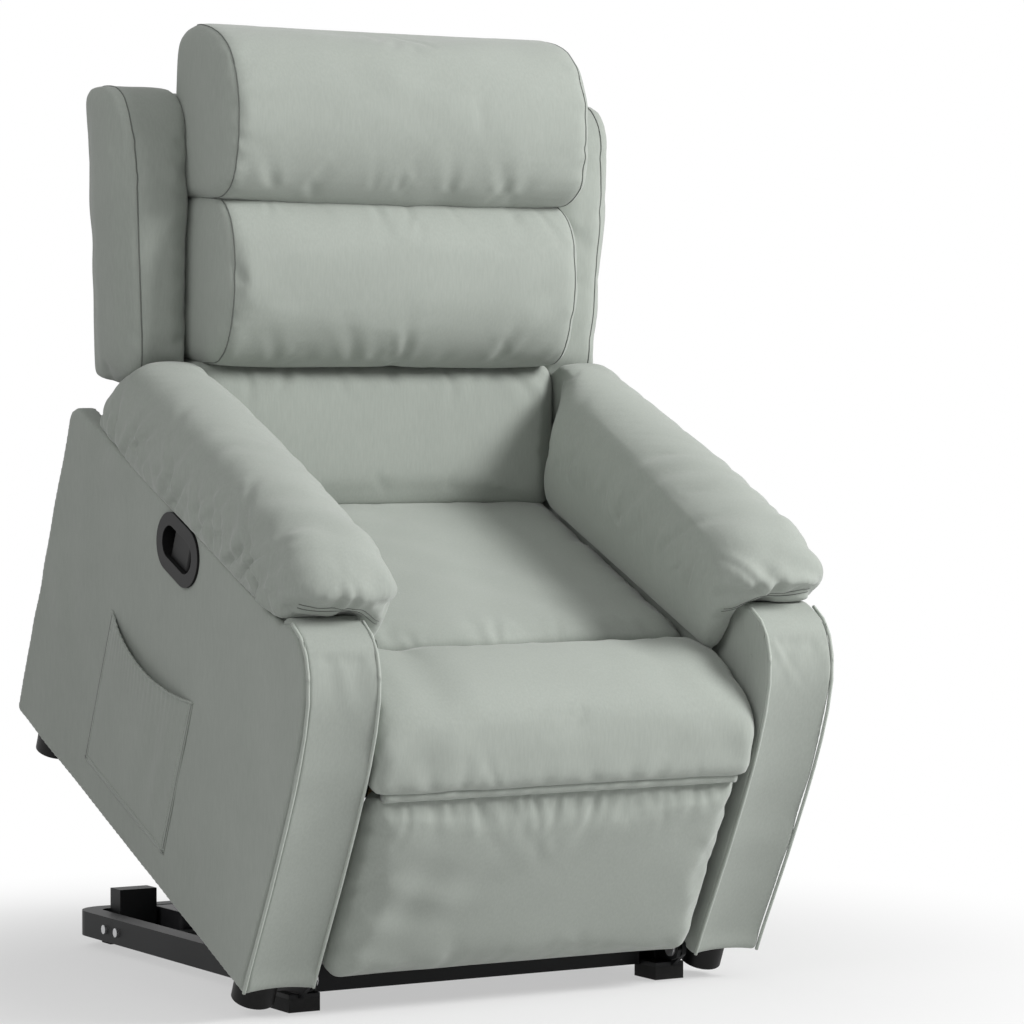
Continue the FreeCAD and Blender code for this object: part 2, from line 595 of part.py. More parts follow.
def make_arm_fronts():
    """Curved front bands that bulge forward at seat height and tuck back under the arm pads."""
    shape = [("-arm_board_depth", "0"), ("-arm_board_depth", "panel_top"), ("-front_top + 12", "panel_top - 8"),
             ("-front_top", "front_top_z"), ("-front_brow", "front_brow_z"), ("-front_belly", "front_belly_z"),
             ("-front_foot_depth - 4", "front_shin_z"), ("-front_foot_depth", "0")]
    for name, side in SIDES:
        piece = Piece("arm_front_" + name, "chair")
        piece.side(shape, mirrored("arm_inner", "arm_outer", side))
        piece.rounded("front_soft", front_rim)


def front_rim(edge):
    """Edge test: on an outer side face and on the front of the band."""
    centre = edge.CenterOfMass
    on_side = min(abs(abs(centre.x) - value(name)) for name in ("arm_outer", "arm_inner")) < 0.01
    return on_side and centre.y < -value("arm_board_depth") - 5 and centre.z > 5


def make_arm_pads():
    """Pillow arm pads that cap the arm boxes and roll over their inner edge."""
    for name, side in SIDES:
        piece = Piece("arm_pad_" + name, "chair")
        low = "panel_top + pad_gap"
        cap = [("-pad_rear - 12", low), ("-pad_rear", "panel_top + 34"), ("-pad_rear - 44", "pad_top"),
               ("-pad_front + 90", "pad_top - 12"), ("-pad_front + 13", "panel_top + 60"),
               ("-pad_front", "panel_top + 17"), ("-pad_front", low)]
        piece.side(cap, mirrored("pad_step", "pad_outer", side))
        bolster = [("-pad_roll_rear", "panel_top - pad_roll_drop"), ("-pad_roll_rear", "pad_top - 4"),
                   ("-pad_front + 95", "pad_top - 16"), ("-pad_front + 20", "panel_top + 50"),
                   ("-pad_front + 5", "panel_top"), ("-pad_front + 25", "panel_top - pad_roll_drop")]
        piece.side(bolster, mirrored("pad_inner", "pad_step", side))
        piece.rounded("pad_soft", pad_rim)


def pad_rim(edge):
    """Edge test: along the pad's upper outer or inner rim."""
    centre = edge.CenterOfMass
    on_side = min(abs(abs(centre.x) - value(name)) for name in ("pad_outer", "pad_inner")) < 0.01
    return on_side and centre.z > value("panel_top") + 70


def make_arm_blocks():
    """Timber blocks inside the arm boxes, above the feet."""
    piece = Piece("arm_blocks", "chair")
    for name, side in SIDES:
        for depth in ("foot_rear_depth", "foot_front_depth"):
            ahead, behind = f"-{depth} - block_long / 2", f"-{depth} + block_long / 2"
            if depth == "foot_rear_depth":
                behind = "-rear_panel_depth - rear_panel_thick"
            else:
                ahead = "-arm_board_depth"
            piece.block(mirrored("arm_inner + inner_thick", "arm_outer - panel_thick", side),
                        (ahead, behind), ("0", "block_tall"))


def make_chair_feet():
    """Round feet with a narrower neck."""
    piece = Piece("chair_feet", "chair")
    for name, side in SIDES:
        for depth in ("foot_rear_depth", "foot_front_depth"):
            x = mirrored("foot_side", "foot_side", side)[0]
            piece.rod(UP, "foot_r", "foot_tall - foot_neck", x, f"-{depth}", "-foot_tall")
            piece.rod(UP, "foot_r - foot_step", "foot_neck", x, f"-{depth}", "-foot_neck")


def make_storage_pocket():
    """Cloth pouch on the right arm, open at the top and backed by the arm panel."""
    piece = Piece("storage_pocket", "chair")
    face = "-arm_outer"

    def wedge(inset, low, top, ends, cut):
        shape = [(face, low), (face, top), (f"{face} - pocket_open + {inset}", top),
                 (f"{face} - pocket_foot + {inset}", low)]
        piece.outline("XZ_Plane", shape, ends[0], f"({ends[1]}) - ({ends[0]})", cut)

    wedge("0", "pocket_low", "pocket_top", ("pocket_back", "pocket_front"), False)
    wedge("pocket_wall", "pocket_low + 2 * pocket_wall", "pocket_top + 5",
          ("pocket_back + 2 * pocket_wall", "pocket_front - 2 * pocket_wall"), True)


def make_handle_cup():
    """Oval moulded plate with a deep finger cup."""
    piece = Piece("handle_cup", "chair")
    face = "-arm_outer"
    oval(piece, (f"{face} - cup_rim", "cup_rim"), "0")
    oval(piece, (face, "cup_deep"), "cup_ring")
    oval(piece, (f"{face} - cup_rim - 1", "cup_rim + 1 + cup_deep - cup_floor"), "cup_ring + 3", cut=True)


def make_lever_pin():
    """Upright pin at the cup's front end that the release lever turns on."""
    piece = Piece("lever_pin", "chair")
    piece.rod(UP, "lever_pin_r", "cup_tall - 2 * cup_ring - 6", "-arm_outer + lever_sink", lever_y,
              "handle_z - cup_tall / 2 + cup_ring + 3")


lever_y = "-handle_depth - (cup_long - cup_tall) / 2 + 2"


def make_release_lever():
    """Paddle in the cup; fingers go behind its rear edge and pull it outwards."""
    piece = Piece("release_lever", "chair")
    half = "lever_tall / 2"
    x = "-arm_outer + lever_sink"
    piece.rod(UP, "lever_knuckle_r", "lever_tall", x, lever_y, f"handle_z - {half}")
    piece.block((f"{x} - lever_knuckle_r", f"{x} - lever_knuckle_r + lever_thick"), (lever_y, f"{lever_y} + lever_long"),
                (f"handle_z - {half}", f"handle_z + {half}"))
    piece.rod(UP, "lever_pin_r + running_gap", "lever_tall + 2 * cut_past", x, lever_y, f"handle_z - {half} - cut_past", cut=True)


# ---------------------------------------------------------------- seat

def make_seat_frame():
    """Steel rails between the arm boxes: two along the sides, two across."""
    sides = Piece("seat_side_rails", "chair")
    for name, side in SIDES:
        sides.block(mirrored("arm_inner - seat_rail_wide", "arm_inner", side),
                    ("-seat_rail_front", "-seat_rail_back"), ("seat_rail_low", "rail_roof"))
    across = Piece("seat_cross_rails", "chair")
    half = "arm_inner - seat_rail_wide"
    for low, high in (("-seat_rail_front", "-seat_rail_front + seat_rail_wide"),
                      ("-seat_back - seat_rail_wide", "-seat_back")):
        across.block((f"-({half})", half), (low, high), ("seat_rail_low", "rail_roof"))


def make_seat_springs():
    """Flat zigzag wires hooked between the two cross rails."""
    piece = doc.addObject("Part::Feature", "seat_springs")
    piece.Label = "seat_springs"
    half = value("arm_inner - seat_rail_wide - spring_inset")
    front, rear = value("-seat_rail_front + seat_rail_wide"), value("-seat_back - seat_rail_wide")
    height = value("rail_roof - spring_wire")
    bends = int((rear - front) / SIZES["spring_pitch"])
    step = (rear - front) / bends
    wires = []
    for index in range(SIZES["spring_count"]):
        middle = -half + 2 * half * index / (SIZES["spring_count"] - 1)
        line = [(middle, front)]
        for bend in range(bends):
            x = middle + SIZES["spring_swing"] * (1 if bend % 2 else -1)
            line += [(x, front + (bend + 0.25) * step), (x, front + (bend + 0.75) * step)]
        line.append((middle, rear))
        thick = SIZES["spring_wire"] / 2
        edge = [V(x - thick, y, height) for x, y in line] + [V(x + thick, y, height) for x, y in reversed(line)]
        wires.append(Part.Face(Part.makePolygon(edge + edge[:1])).extrude(V(0, 0, SIZES["spring_wire"])))
    piece.Shape = Part.makeCompound(wires)
    y, z = (value(text) for text in row_place("0", "0"))
    piece.Placement = FreeCAD.Placement(V(0, y, z), FreeCAD.Rotation(ACROSS, SIZES["lift_angle"]))
    pieces.append(piece)


def make_seat_cushion():
    piece = Piece("seat_cushion", "chair")
    low = "rail_roof + pad_gap"
    shape = [("-seat_back", low), ("-seat_back", "seat_top"), ("-seat_seam", "seat_top"), ("-seat_seam", low)]
    piece.side(shape, ("-seat_half", "seat_half"))
    piece.rounded("seat_soft", lambda edge: edge.CenterOfMass.z > value("seat_top") - 0.01)


def make_seat_front_roll():
    """Bolster at the front of the seat that hangs over the legrest's top edge."""
    piece = Piece("seat_front_roll", "chair")
    low = "rail_roof + pad_gap"
    shape = [("-seat_seam - pad_gap", low), ("-seat_seam - pad_gap", "seat_top - 4"),
             ("-seat_seam - 40", "seat_top + 6"), ("-roll_front + 70", "seat_top - 2"), ("-roll_front + 18", "seat_top - 42"),
             ("-roll_front", "seat_top - 74"), ("-roll_front + 4", "roll_low + 12"), ("-roll_front + 16", "roll_low"),
             ("-seat_rail_front - 6", "roll_low"), ("-seat_rail_front - 1", low)]
    piece.side(shape, ("-seat_half", "seat_half"))


def make_rear_panel():
    """Upholstered board across the back of the arm boxes, below the backrest."""
    piece = Piece("rear_panel", "chair")
    piece.block(("-arm_outer + panel_thick", "arm_outer - panel_thick"),
                ("-rear_panel_depth - rear_panel_thick", "-rear_panel_depth"), ("rear_panel_low", "rear_panel_top"))


def make_recline_brackets():
    """Plates on the seat's side rails with the pins the backrest turns on."""
    piece = Piece("recline_brackets", "chair")
    shape = [("-back_pivot_depth - 60", "rail_roof"), ("-seat_rail_back", "rail_roof"),
             ("-back_pivot_depth + recline_plate_r", "back_pivot_z - 6"),
             ("-back_pivot_depth + recline_plate_r - 8", "back_pivot_z + recline_plate_r - 4"),
             ("-back_pivot_depth - recline_plate_r + 8", "back_pivot_z + recline_plate_r - 4"),
             ("-back_pivot_depth - recline_plate_r", "back_pivot_z - 6")]
    for name, side in SIDES:
        piece.side(shape, mirrored("arm_inner - recline_plate", "arm_inner", side))
        pin = mirrored("post_x - 6", "arm_inner", side)
        piece.rod(ACROSS, "recline_pin_r", f"({pin[1]}) - ({pin[0]})", pin[0], "-back_pivot_depth", "back_pivot_z")
        head = mirrored("post_x - 6", "post_x - 1", side)
        piece.rod(ACROSS, "recline_pin_r + 4", "5", head[0], "-back_pivot_depth", "back_pivot_z")


# ---------------------------------------------------------------- backrest, in the back frame

def make_back_posts():
    """Steel posts that turn on the recline pins and slide up into the cushioned back."""
    piece = Piece("back_posts", "back")
    for name, side in SIDES:
        span = mirrored("post_x", "post_x + post_wide", side)
        piece.block(span, ("0", "post_deep"), ("0", "post_top"))
        piece.rod(ACROSS, "post_end_r", "post_wide", span[0], "0", "0")
        piece.block(span, ("-post_end_r", "0"), ("0", "post_end_r"))
        piece.rod(ACROSS, "recline_pin_r + running_gap", "post_wide + 4", f"{span[0]} - 2", "0", "0", cut=True)


def make_back_rails():
    """Cross rails between the posts."""
    piece = Piece("back_rails", "back")
    for low in ("back_rail_low", "back_rail_high"):
        piece.block(("-post_x", "post_x"), ("0", "post_deep"), (low, f"{low} + back_rail_tall"))


def make_back_bands():
    """Woven elastic bands across the posts' front faces, spaced up the back."""
    piece = Piece("back_bands", "back")
    pitch = "(back_rail_high - back_rail_low - back_rail_tall - band_tall) / (band_count - 1)"
    for index in range(SIZES["band_count"]):
        low = f"back_rail_low + back_rail_tall + {index} * {pitch}"
        piece.block(("-post_x - post_wide + 4", "post_x + post_wide - 4"), ("-band_thick", "0"),
                    (low, f"{low} + band_tall"))


def make_back_cushions():
    """Head pillow, lumbar roll and lower cushion, one above the other."""
    rear = "-band_thick - soft_gap"
    half = ("-post_x - post_wide + soft_gap", "post_x + post_wide - soft_gap")
    head = Piece("head_cushion", "back")
    head.side([(rear, "head_low"), (rear, "head_top - 34"), ("-28", "head_top - 6"), ("-72", "head_top"),
               ("-126", "head_top - 34"), ("-head_front + 18", "head_top - 86"), ("-head_front", "head_top - 132"),
               ("-head_front + 4", "head_low + 70"), ("-head_front + 30", "head_low + 26"),
               ("-head_front + 66", "head_low")], half)
    lumbar = Piece("lumbar_cushion", "back")
    lumbar.side([(rear, "lumbar_low"), (rear, "lumbar_top"), ("-lumbar_front + 66", "lumbar_top"),
                 ("-lumbar_front + 22", "lumbar_top - 36"), ("-lumbar_front", "lumbar_top - 88"),
                 ("-lumbar_front + 2", "lumbar_low + 98"), ("-lumbar_front + 22", "lumbar_low + 44"),
                 ("-lumbar_front + 66", "lumbar_low")], half)
    lower = Piece("back_lower_cushion", "back")
    lower.side([(rear, "-lower_drop / 2 + 4"), (rear, "lower_top"), ("-lower_front + 26", "lower_top"),
                ("-lower_front + 4", "lower_top - 32"), ("-lower_front", "lower_top - 84"),
                ("-lower_front + 8", "-lower_drop + 14"), ("-lower_front + 26", "-lower_drop")], half)
    for name, side in SIDES:
        notch = mirrored("post_x - 8", "post_x + post_wide + 1", side)
        lower.block(notch, ("-post_end_r - 3", "1"), ("-lower_drop - 1", "post_end_r + 3"), cut=True)


def make_back_wings():
    """Side wings, wider at the top, that close the back's edges."""
    shape = [("-wing_front + 6", "wing_foot + 12"), ("outer_back - 8", "wing_foot"), ("outer_back", "wing_foot + 20"),
             ("outer_back", "wing_top - 14"), ("outer_back - 12", "wing_top"), ("-wing_crown", "wing_top"),
             ("-wing_crown - 16", "wing_top - 26"), ("-wing_front", "wing_top - 146")]
    for name, side in SIDES:
        piece = Piece("back_wing_" + name, "back")
        piece.side(shape, mirrored("post_x + post_wide", "wing_outer", side))
        taper = [("wing_outer + 1", "wing_foot - 1"), ("wing_outer + 1", "wing_top + 1"), ("wing_outer", "wing_top + 1"),
                 ("wing_outer - 28", "wing_foot - 1")]
        turned = [(x if side > 0 else f"-({x})", z) for x, z in taper]
        piece.outline("XZ_Plane", turned, "-outer_back - 1", "outer_back + wing_front + 2", True)


def make_back_outer_panel():
    """Upholstered board that closes the back behind the posts."""
    piece = Piece("back_outer_panel", "back")
    half = "post_x + post_wide"
    piece.block((f"-({half})", half), ("post_deep", "outer_back"), ("outer_back_low", "outer_back_top"))
    piece.rounded("10", lambda edge: edge.CenterOfMass.y > value("outer_back") - 0.01)


# ---------------------------------------------------------------- legrest, in the chair frame

def make_legrest_hangers():
    """Arms from the seat's front rail that reach over the legrest board to its pins."""
    piece = Piece("legrest_hangers", "chair")
    top = "leg_pivot_z + leg_ear_r"
    shape = [("-seat_rail_front", "rail_roof"), ("-seat_rail_front", "seat_rail_low"), ("-seat_rail_front - 5", "seat_rail_low"),
             ("-seat_rail_front - 5", "leg_board_top + 1.5"), ("-leg_pivot_depth - leg_ear_r * 0.7", "leg_pivot_z - leg_ear_r"),
             ("-leg_pivot_depth - leg_ear_r", "leg_pivot_z"), ("-leg_pivot_depth - leg_ear_r * 0.7", top),
             ("-seat_rail_front - 5", top), ("-seat_rail_front - 4", "rail_roof")]
    for name, side in SIDES:
        span = mirrored("leg_ear_x", "leg_ear_x + leg_ear_thick", side)
        piece.side(shape, span)
        pin = mirrored("leg_ear_x", "leg_ear_x + 2 * leg_ear_thick + 4", side)
        piece.rod(ACROSS, "leg_pin_r", "2 * leg_ear_thick + 4", pin[0], "-leg_pivot_depth", "leg_pivot_z")


def make_legrest_hinges():
    """Ears on the board's top edge that turn on the hangers' pins."""
    piece = Piece("legrest_hinges", "chair")
    low = "leg_board_top"
    back = "-leg_face_top + leg_pad_thick + leg_board_thick"
    for name, side in SIDES:
        span = mirrored("leg_ear_x + leg_ear_thick + 1", "leg_ear_x + 2 * leg_ear_thick + 1", side)
        shape = [(back, low), (f"{back} - leg_board_thick", low), ("-leg_pivot_depth - leg_ear_r * 0.7", "leg_pivot_z - leg_ear_r"),
                 ("-leg_pivot_depth - leg_ear_r", "leg_pivot_z"), ("-leg_pivot_depth - leg_ear_r * 0.7", "leg_pivot_z + leg_ear_r"),
                 ("-leg_pivot_depth + leg_ear_r", "leg_pivot_z + leg_ear_r"), (f"{back} - 4", f"{low} + 7"), (back, f"{low} + 3")]
        piece.side(shape, span)
        piece.rod(ACROSS, "leg_pin_r + running_gap", "leg_ear_thick + 4", f"{span[0]} - 2",
                  "-leg_pivot_depth", "leg_pivot_z", cut=True)


def leg_slab(piece, behind, thick, low, top, half):
    """A slab parallel to the legrest's face, from a distance behind it."""
    lean = "(leg_face_top - leg_face_low) / (leg_board_top - leg_pad_low)"

    def face(z, back):
        return f"-(leg_face_low + (({z}) - leg_pad_low) * {lean}) + ({back})"

    piece.side([(face(low, behind), low), (face(top, behind), top), (face(top, f"{behind} + {thick}"), top),
                (face(low, f"{behind} + {thick}"), low)], (f"-({half})", half))


def make_legrest():
    board = Piece("legrest_board", "chair")
    leg_slab(board, "leg_pad_thick", "leg_board_thick", "leg_board_low", "leg_board_top", "leg_half - 22")
    pad = Piece("legrest_pad", "chair")
    leg_slab(pad, "0", "leg_pad_thick", "leg_pad_low", "leg_board_top", "leg_half")
    pad.rounded("leg_soft", lambda edge: edge.CenterOfMass.y < -value("leg_face_low") + 12 and
                edge.Length > 150 and edge.CenterOfMass.z < value("leg_board_top") - 5)


MAKERS = (make_base_rear_cross, make_base_rails, make_base_cross_bar, make_base_tray, make_base_front_cross,
          make_hinge_brackets, make_lift_pins, make_base_feet, make_rest_blocks, make_motor_clevis, make_motor_pin,
          make_base_bolts, make_control_box, make_power_inlet, make_actuator_gearbox, make_actuator_motor,
          make_actuator_tube, make_actuator_rod, make_lift_rails, make_lift_crosses, make_drive_tube,
          make_drive_bracket, make_drive_pin, make_side_panels, make_arm_inners, make_arm_fronts, make_arm_pads,
          make_arm_blocks, make_chair_feet, make_storage_pocket, make_handle_cup, make_lever_pin,
          make_release_lever, make_seat_frame, make_seat_springs, make_seat_cushion, make_seat_front_roll,
          make_rear_panel, make_recline_brackets, make_back_posts, make_back_rails, make_back_bands,
          make_back_cushions, make_back_wings, make_back_outer_panel, make_legrest_hangers, make_legrest_hinges,
          make_legrest)

for maker in MAKERS:
    maker()
doc.recompute()

for item in doc.Objects:
    if "Invalid" in item.State or "Error" in item.State:
        raise RuntimeError("%s did not build: %s" % (item.Label, item.State))

os.makedirs("parts", exist_ok=True)
for piece in pieces:
    item = piece.body if isinstance(piece, Piece) else piece
    if item.Shape.isNull() or not item.Shape.isValid():
        raise RuntimeError("%s has no valid shape" % item.Label)
    item.Shape.exportStep("parts/%s.step" % item.Label)
    print("%-20s solids %d  volume %.0f cm3" % (item.Label, len(item.Shape.Solids), item.Shape.Volume / 1000))
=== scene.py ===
"""Looks for the lift recliner chair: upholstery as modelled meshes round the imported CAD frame.

Metres, row frame. Soft pieces are drawn in one of two frames. In `chair`, x is across, -y forward and z up
from the arm panels' rear lower corner. In `back`, z is up the leaning back and -y its front, from the
recline pins.
"""
import json
import math
import random

import bpy
import bmesh
import numpy as np
from mathutils import Matrix, Vector
from mathutils.bvhtree import BVHTree


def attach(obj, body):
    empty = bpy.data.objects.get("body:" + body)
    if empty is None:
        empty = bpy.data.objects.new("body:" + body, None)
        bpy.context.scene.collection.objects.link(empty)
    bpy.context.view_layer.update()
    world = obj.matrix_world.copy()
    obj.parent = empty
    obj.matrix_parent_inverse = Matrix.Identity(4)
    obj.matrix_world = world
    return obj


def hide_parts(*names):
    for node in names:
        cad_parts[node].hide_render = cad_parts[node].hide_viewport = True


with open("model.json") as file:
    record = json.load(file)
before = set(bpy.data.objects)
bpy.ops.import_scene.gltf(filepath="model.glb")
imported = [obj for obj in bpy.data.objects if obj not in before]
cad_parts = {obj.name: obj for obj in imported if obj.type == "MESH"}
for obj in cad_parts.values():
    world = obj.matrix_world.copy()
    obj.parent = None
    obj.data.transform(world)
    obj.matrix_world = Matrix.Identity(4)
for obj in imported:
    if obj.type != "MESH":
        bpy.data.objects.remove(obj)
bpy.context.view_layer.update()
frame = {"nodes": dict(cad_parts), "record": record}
joints = {joint["name"]: joint for joint in frame["record"]["behaviour"]["joints"]}
SIDES = (("left", 1), ("right", -1))
MM = 0.001
BACK_LEAN = math.radians(20.5)  # between the chair frame and the backrest, as in part.py
FABRIC = (0.375, 0.405, 0.368)
EDGE_ROUND = 1.2 * MM  # rounding that the shader gives to the edges of steel and plastic
CLOTH_VOXEL, PANEL_VOXEL = 8 * MM, 5 * MM
CLOTH_PRESSURE = 4.0
CLOTH_STEPS = 20
PIPING_RADIUS = 2.4 * MM
SEAM_RADIUS = 1.1 * MM
STITCH_LENGTH, STITCH_RADIUS = 4 * MM, 0.45 * MM
NOSE_ROUND, HEEL_ROUND = 50 * MM, 26 * MM  # how far from each end an arm pad begins to close
NOSE_TUCK, NOSE_LIFT = 37 * MM, 11 * MM  # back and up, where the pad's nose meets the arm's front band
PIPING_GAP = 3 * MM

AMBIENT = 0.23
FLOOR_REACH = 9.0
FLOOR_GLOW = {"From_Min": 0.5, "From_Max": 1.3, "To_Min": 0.5, "To_Max": 1.0}  # share, by metres away
LAMP_TARGET = (0, 0, 0.65)
LAMPS = (("key", (3.1, -2.9, 3.0), 1.7, 245), ("fill", (-3.6, -1.6, 3.0), 2.6, 52),
         ("top", (0.0, 0.2, 4.0), 2.4, 8))  # name, place, size in metres, watts
CAMERA_PLACE, CAMERA_FORWARD = (-2.677, -4.829, 0.819), (0.5066, 0.8617, -0.0279)
CAMERA_LENS, CAMERA_SENSOR, CAMERA_SHIFT = 138.7, 36, (0.0099, -0.0135)
LIFT = math.radians(-joints["lift"]["range_deg"][0])


def points_of(node, matrix):
    """A CAD node's vertices in the frame that a matrix places."""
    mesh = frame["nodes"][node].data
    flat = np.empty(len(mesh.vertices) * 3)
    mesh.vertices.foreach_get("co", flat)
    turned = np.array(matrix.inverted())
    return flat.reshape(-1, 3) @ turned[:3, :3].T + turned[:3, 3]


def chair_matrix():
    """Places the chair frame: its origin is the arm panel's rear lower corner."""
    tip = Matrix.Rotation(LIFT, 4, "X")
    corner = points_of("side_panel_left", tip)
    return tip @ Matrix.Translation((0, corner[:, 1].max(), corner[:, 2].min()))


chair = chair_matrix()
back = Matrix.Translation(joints["recline"]["pos_m"]) @ Matrix.Rotation(LIFT - BACK_LEAN, 4, "X")


def span(node, matrix):
    """Lowest and highest corner of a CAD node in a frame."""
    points = points_of(node, matrix)
    return points.min(0), points.max(0)


# ---------------------------------------------------------------- materials

def new_material(name, color, roughness, **sockets):
    """A Principled material; keyword names are its shader's input sockets."""
    material = bpy.data.materials.new(name)
    material.use_nodes = True
    shader = material.node_tree.nodes["Principled BSDF"]
    shader.inputs["Base Color"].default_value = (*color, 1)
    shader.inputs["Roughness"].default_value = roughness
    for socket, amount in sockets.items():
        shader.inputs[socket.replace("_", " ")].default_value = amount
    return material


def node(material, kind, **values):
    """A shader node; keyword names are input sockets, or attributes when no socket has that name."""
    made = material.node_tree.nodes.new(kind)
    for key, value in values.items():
        socket = made.inputs.get(key.replace("_", " "))
        if socket is not None:
            socket.default_value = value
        else:
            setattr(made, key, value)
    return made


def link(material, source, target):
    """Joins two sockets of a material or world."""
    material.node_tree.links.new(source, target)


def tint(material, color):
    """Feeds a colour output to a material's base colour."""
    link(material, color, material.node_tree.nodes["Principled BSDF"].inputs["Base Color"])


def noise_of(material, scale, detail=3.0, stretch=(1, 1, 1)):
    """Noise in object space, one unit per metre."""
    place = node(material, "ShaderNodeTexCoord")
    mapping = node(material, "ShaderNodeMapping")
    mapping.inputs["Scale"].default_value = stretch
    texture = node(material, "ShaderNodeTexNoise", Scale=scale, Detail=detail)
    link(material, place.outputs["Object"], mapping.inputs["Vector"])
    link(material, mapping.outputs["Vector"], texture.inputs["Vector"])
    return texture.outputs["Fac"]


def tone(material, factor, dark, light, low=0.3, high=0.7):
    """Colour ramp from dark to light."""
    ramp = node(material, "ShaderNodeValToRGB")
    for stop, place, color in zip(ramp.color_ramp.elements, (low, high), (dark, light)):
        stop.position = place
        stop.color = (*color, 1)
    link(material, factor, ramp.inputs["Fac"])
    return ramp.outputs["Color"]


def multiplied(material, first, second, amount):
    """Two colours multiplied, by an amount from 0 to 1."""
    made = node(material, "ShaderNodeMix", data_type="RGBA", blend_type="MULTIPLY")
    made.inputs["Factor"].default_value = amount
    link(material, first, made.inputs["A"])
    link(material, second, made.inputs["B"])
    return made.outputs["Result"]


def bump(material, heights, edge=0):
    """Chain of bumps, from (height output, strength, distance) triples, over edges the shader rounds."""
    shader = material.node_tree.nodes["Principled BSDF"]
    normal = None
    if edge:
        rounded = node(material, "ShaderNodeBevel", Radius=edge)
        rounded.samples = 4
        normal = rounded.outputs["Normal"]
    for height, strength, distance in heights:
        made = node(material, "ShaderNodeBump", Strength=strength, Distance=distance)
        link(material, height, made.inputs["Height"])
        if normal is not None:
            link(material, normal, made.inputs["Normal"])
        normal = made.outputs["Normal"]
    link(material, normal, shader.inputs["Normal"])


def shade(color, factor):
    """A colour made lighter or darker."""
    return tuple(min(channel * factor, 1) for channel in color)


def weave(material, pitch):
    """Over-and-under threads: two crossed waves in object space."""
    place = node(material, "ShaderNodeTexCoord")
    heights = []
    for direction in ("X", "Z"):
        wave = node(material, "ShaderNodeTexWave", Scale=0.314 / pitch, Distortion=1.2, Detail=1.0,
                    bands_direction=direction)
        link(material, place.outputs["Object"], wave.inputs["Vector"])
        heights.append(wave.outputs["Fac"])
    add = node(material, "ShaderNodeMath", operation="ADD")
    for index, height in enumerate(heights):
        link(material, height, add.inputs[index])
    return add.outputs[0]


def fabric(name, color=FABRIC, pitch=1.1 * MM):
    """Short-napped upholstery fabric: mottled colour, soft sheen, fine weave and slow waviness."""
    material = new_material(name, color, 0.88, Sheen_Weight=0.35, Sheen_Roughness=0.45,
                            Specular_IOR_Level=0.25)
    mottle = tone(material, noise_of(material, 9, 3), shade(color, 0.975), shade(color, 1.025))
    slub = tone(material, noise_of(material, 420, 4, (1, 1, 0.12)), (0.91, 0.91, 0.91), (1.03, 1.03, 1.03))
    fleck = tone(material, noise_of(material, 1500, 2), (0.9, 0.9, 0.9), (1, 1, 1))
    tint(material, multiplied(material, multiplied(material, mottle, slub, 0.7), fleck, 0.6))
    bump(material, [(noise_of(material, 11, 2), 0.2, 4 * MM), (noise_of(material, 190, 4), 0.14, 0.6 * MM),
                    (weave(material, pitch), 0.25, 0.3 * MM)])
    return material


def plastic(name, color, roughness=0.5):
    """Moulded plastic with a fine spark-eroded grain."""
    material = new_material(name, color, roughness, Specular_IOR_Level=0.25)
    tint(material, tone(material, noise_of(material, 60, 3), shade(color, 0.85), shade(color, 1.2)))
    bump(material, [(noise_of(material, 2600, 2), 0.25, 0.15 * MM)], EDGE_ROUND)
    return material


def painted(name, color):
    """Powder-coated steel: faint orange peel and rubbed, lighter patches."""
    material = new_material(name, color, 0.5, Metallic=0.0, Specular_IOR_Level=0.2)
    tint(material, tone(material, noise_of(material, 9, 6), shade(color, 0.8), shade(color, 1.35)))
    bump(material, [(noise_of(material, 700, 2), 0.12, 0.2 * MM)], EDGE_ROUND)
    return material


def metal(name, color, roughness):
    """Bare or plated metal with drawn streaks."""
    material = new_material(name, color, roughness, Metallic=1.0)
    rough = node(material, "ShaderNodeMapRange", To_Min=roughness * 0.8, To_Max=roughness * 1.3)
    link(material, noise_of(material, 220, 3, (1, 0.05, 1)), rough.inputs["Value"])
    link(material, rough.outputs["Result"], material.node_tree.nodes["Principled BSDF"].inputs["Roughness"])
    bump(material, [(noise_of(material, 500, 2, (1, 0.04, 1)), 0.1, 0.1 * MM)])
    return material


def plywood(name):
    """Raw plywood: long grain lines."""
    material = new_material(name, (0.42, 0.29, 0.17), 0.75)
    grain = noise_of(material, 30, 5, (0.25, 6, 6))
    tint(material, tone(material, grain, (0.3, 0.19, 0.1), (0.55, 0.4, 0.25)))
    bump(material, [(grain, 0.2, 0.3 * MM)])
    return material


UPHOLSTERY = fabric("upholstery_cloth")
# Piping cloth is the upholstery colour made lighter: painted highlight on the round cords.
PIPING_HIGHLIGHT = fabric("piping_highlight_cloth", shade(FABRIC, 1.25), 0.7 * MM)
# Thread is the upholstery colour made lighter: painted highlight on the raised stitches.
THREAD_HIGHLIGHT = fabric("thread_highlight_cloth", shade(FABRIC, 1.3), 0.5 * MM)
# Seam cloth is the upholstery colour made much darker: painted shade in the seams' crevices.
SEAM_SHADE = fabric("seam_shadow", shade(FABRIC, 0.42), 0.5 * MM)
MATERIALS = {
    "painted_steel": painted("dark_powder_coat", (0.007, 0.0075, 0.008)),
    "plated_steel": metal("zinc_plate", (0.55, 0.55, 0.56), 0.32),
    "actuator_plastic": plastic("actuator_housing", (0.022, 0.022, 0.024), 0.45),
    "actuator_tube": metal("anodised_tube", (0.5, 0.51, 0.52), 0.4),
    "black_plastic": plastic("black_moulding", (0.004, 0.004, 0.004), 0.5),
    "rubber": plastic("floor_rubber", (0.018, 0.018, 0.018), 0.75),
    "timber": plywood("frame_plywood"),
    "webbing": fabric("elastic_webbing", (0.03, 0.03, 0.032), 2 * MM),
    "upholstery": UPHOLSTERY,
}


# ---------------------------------------------------------------- mesh tools

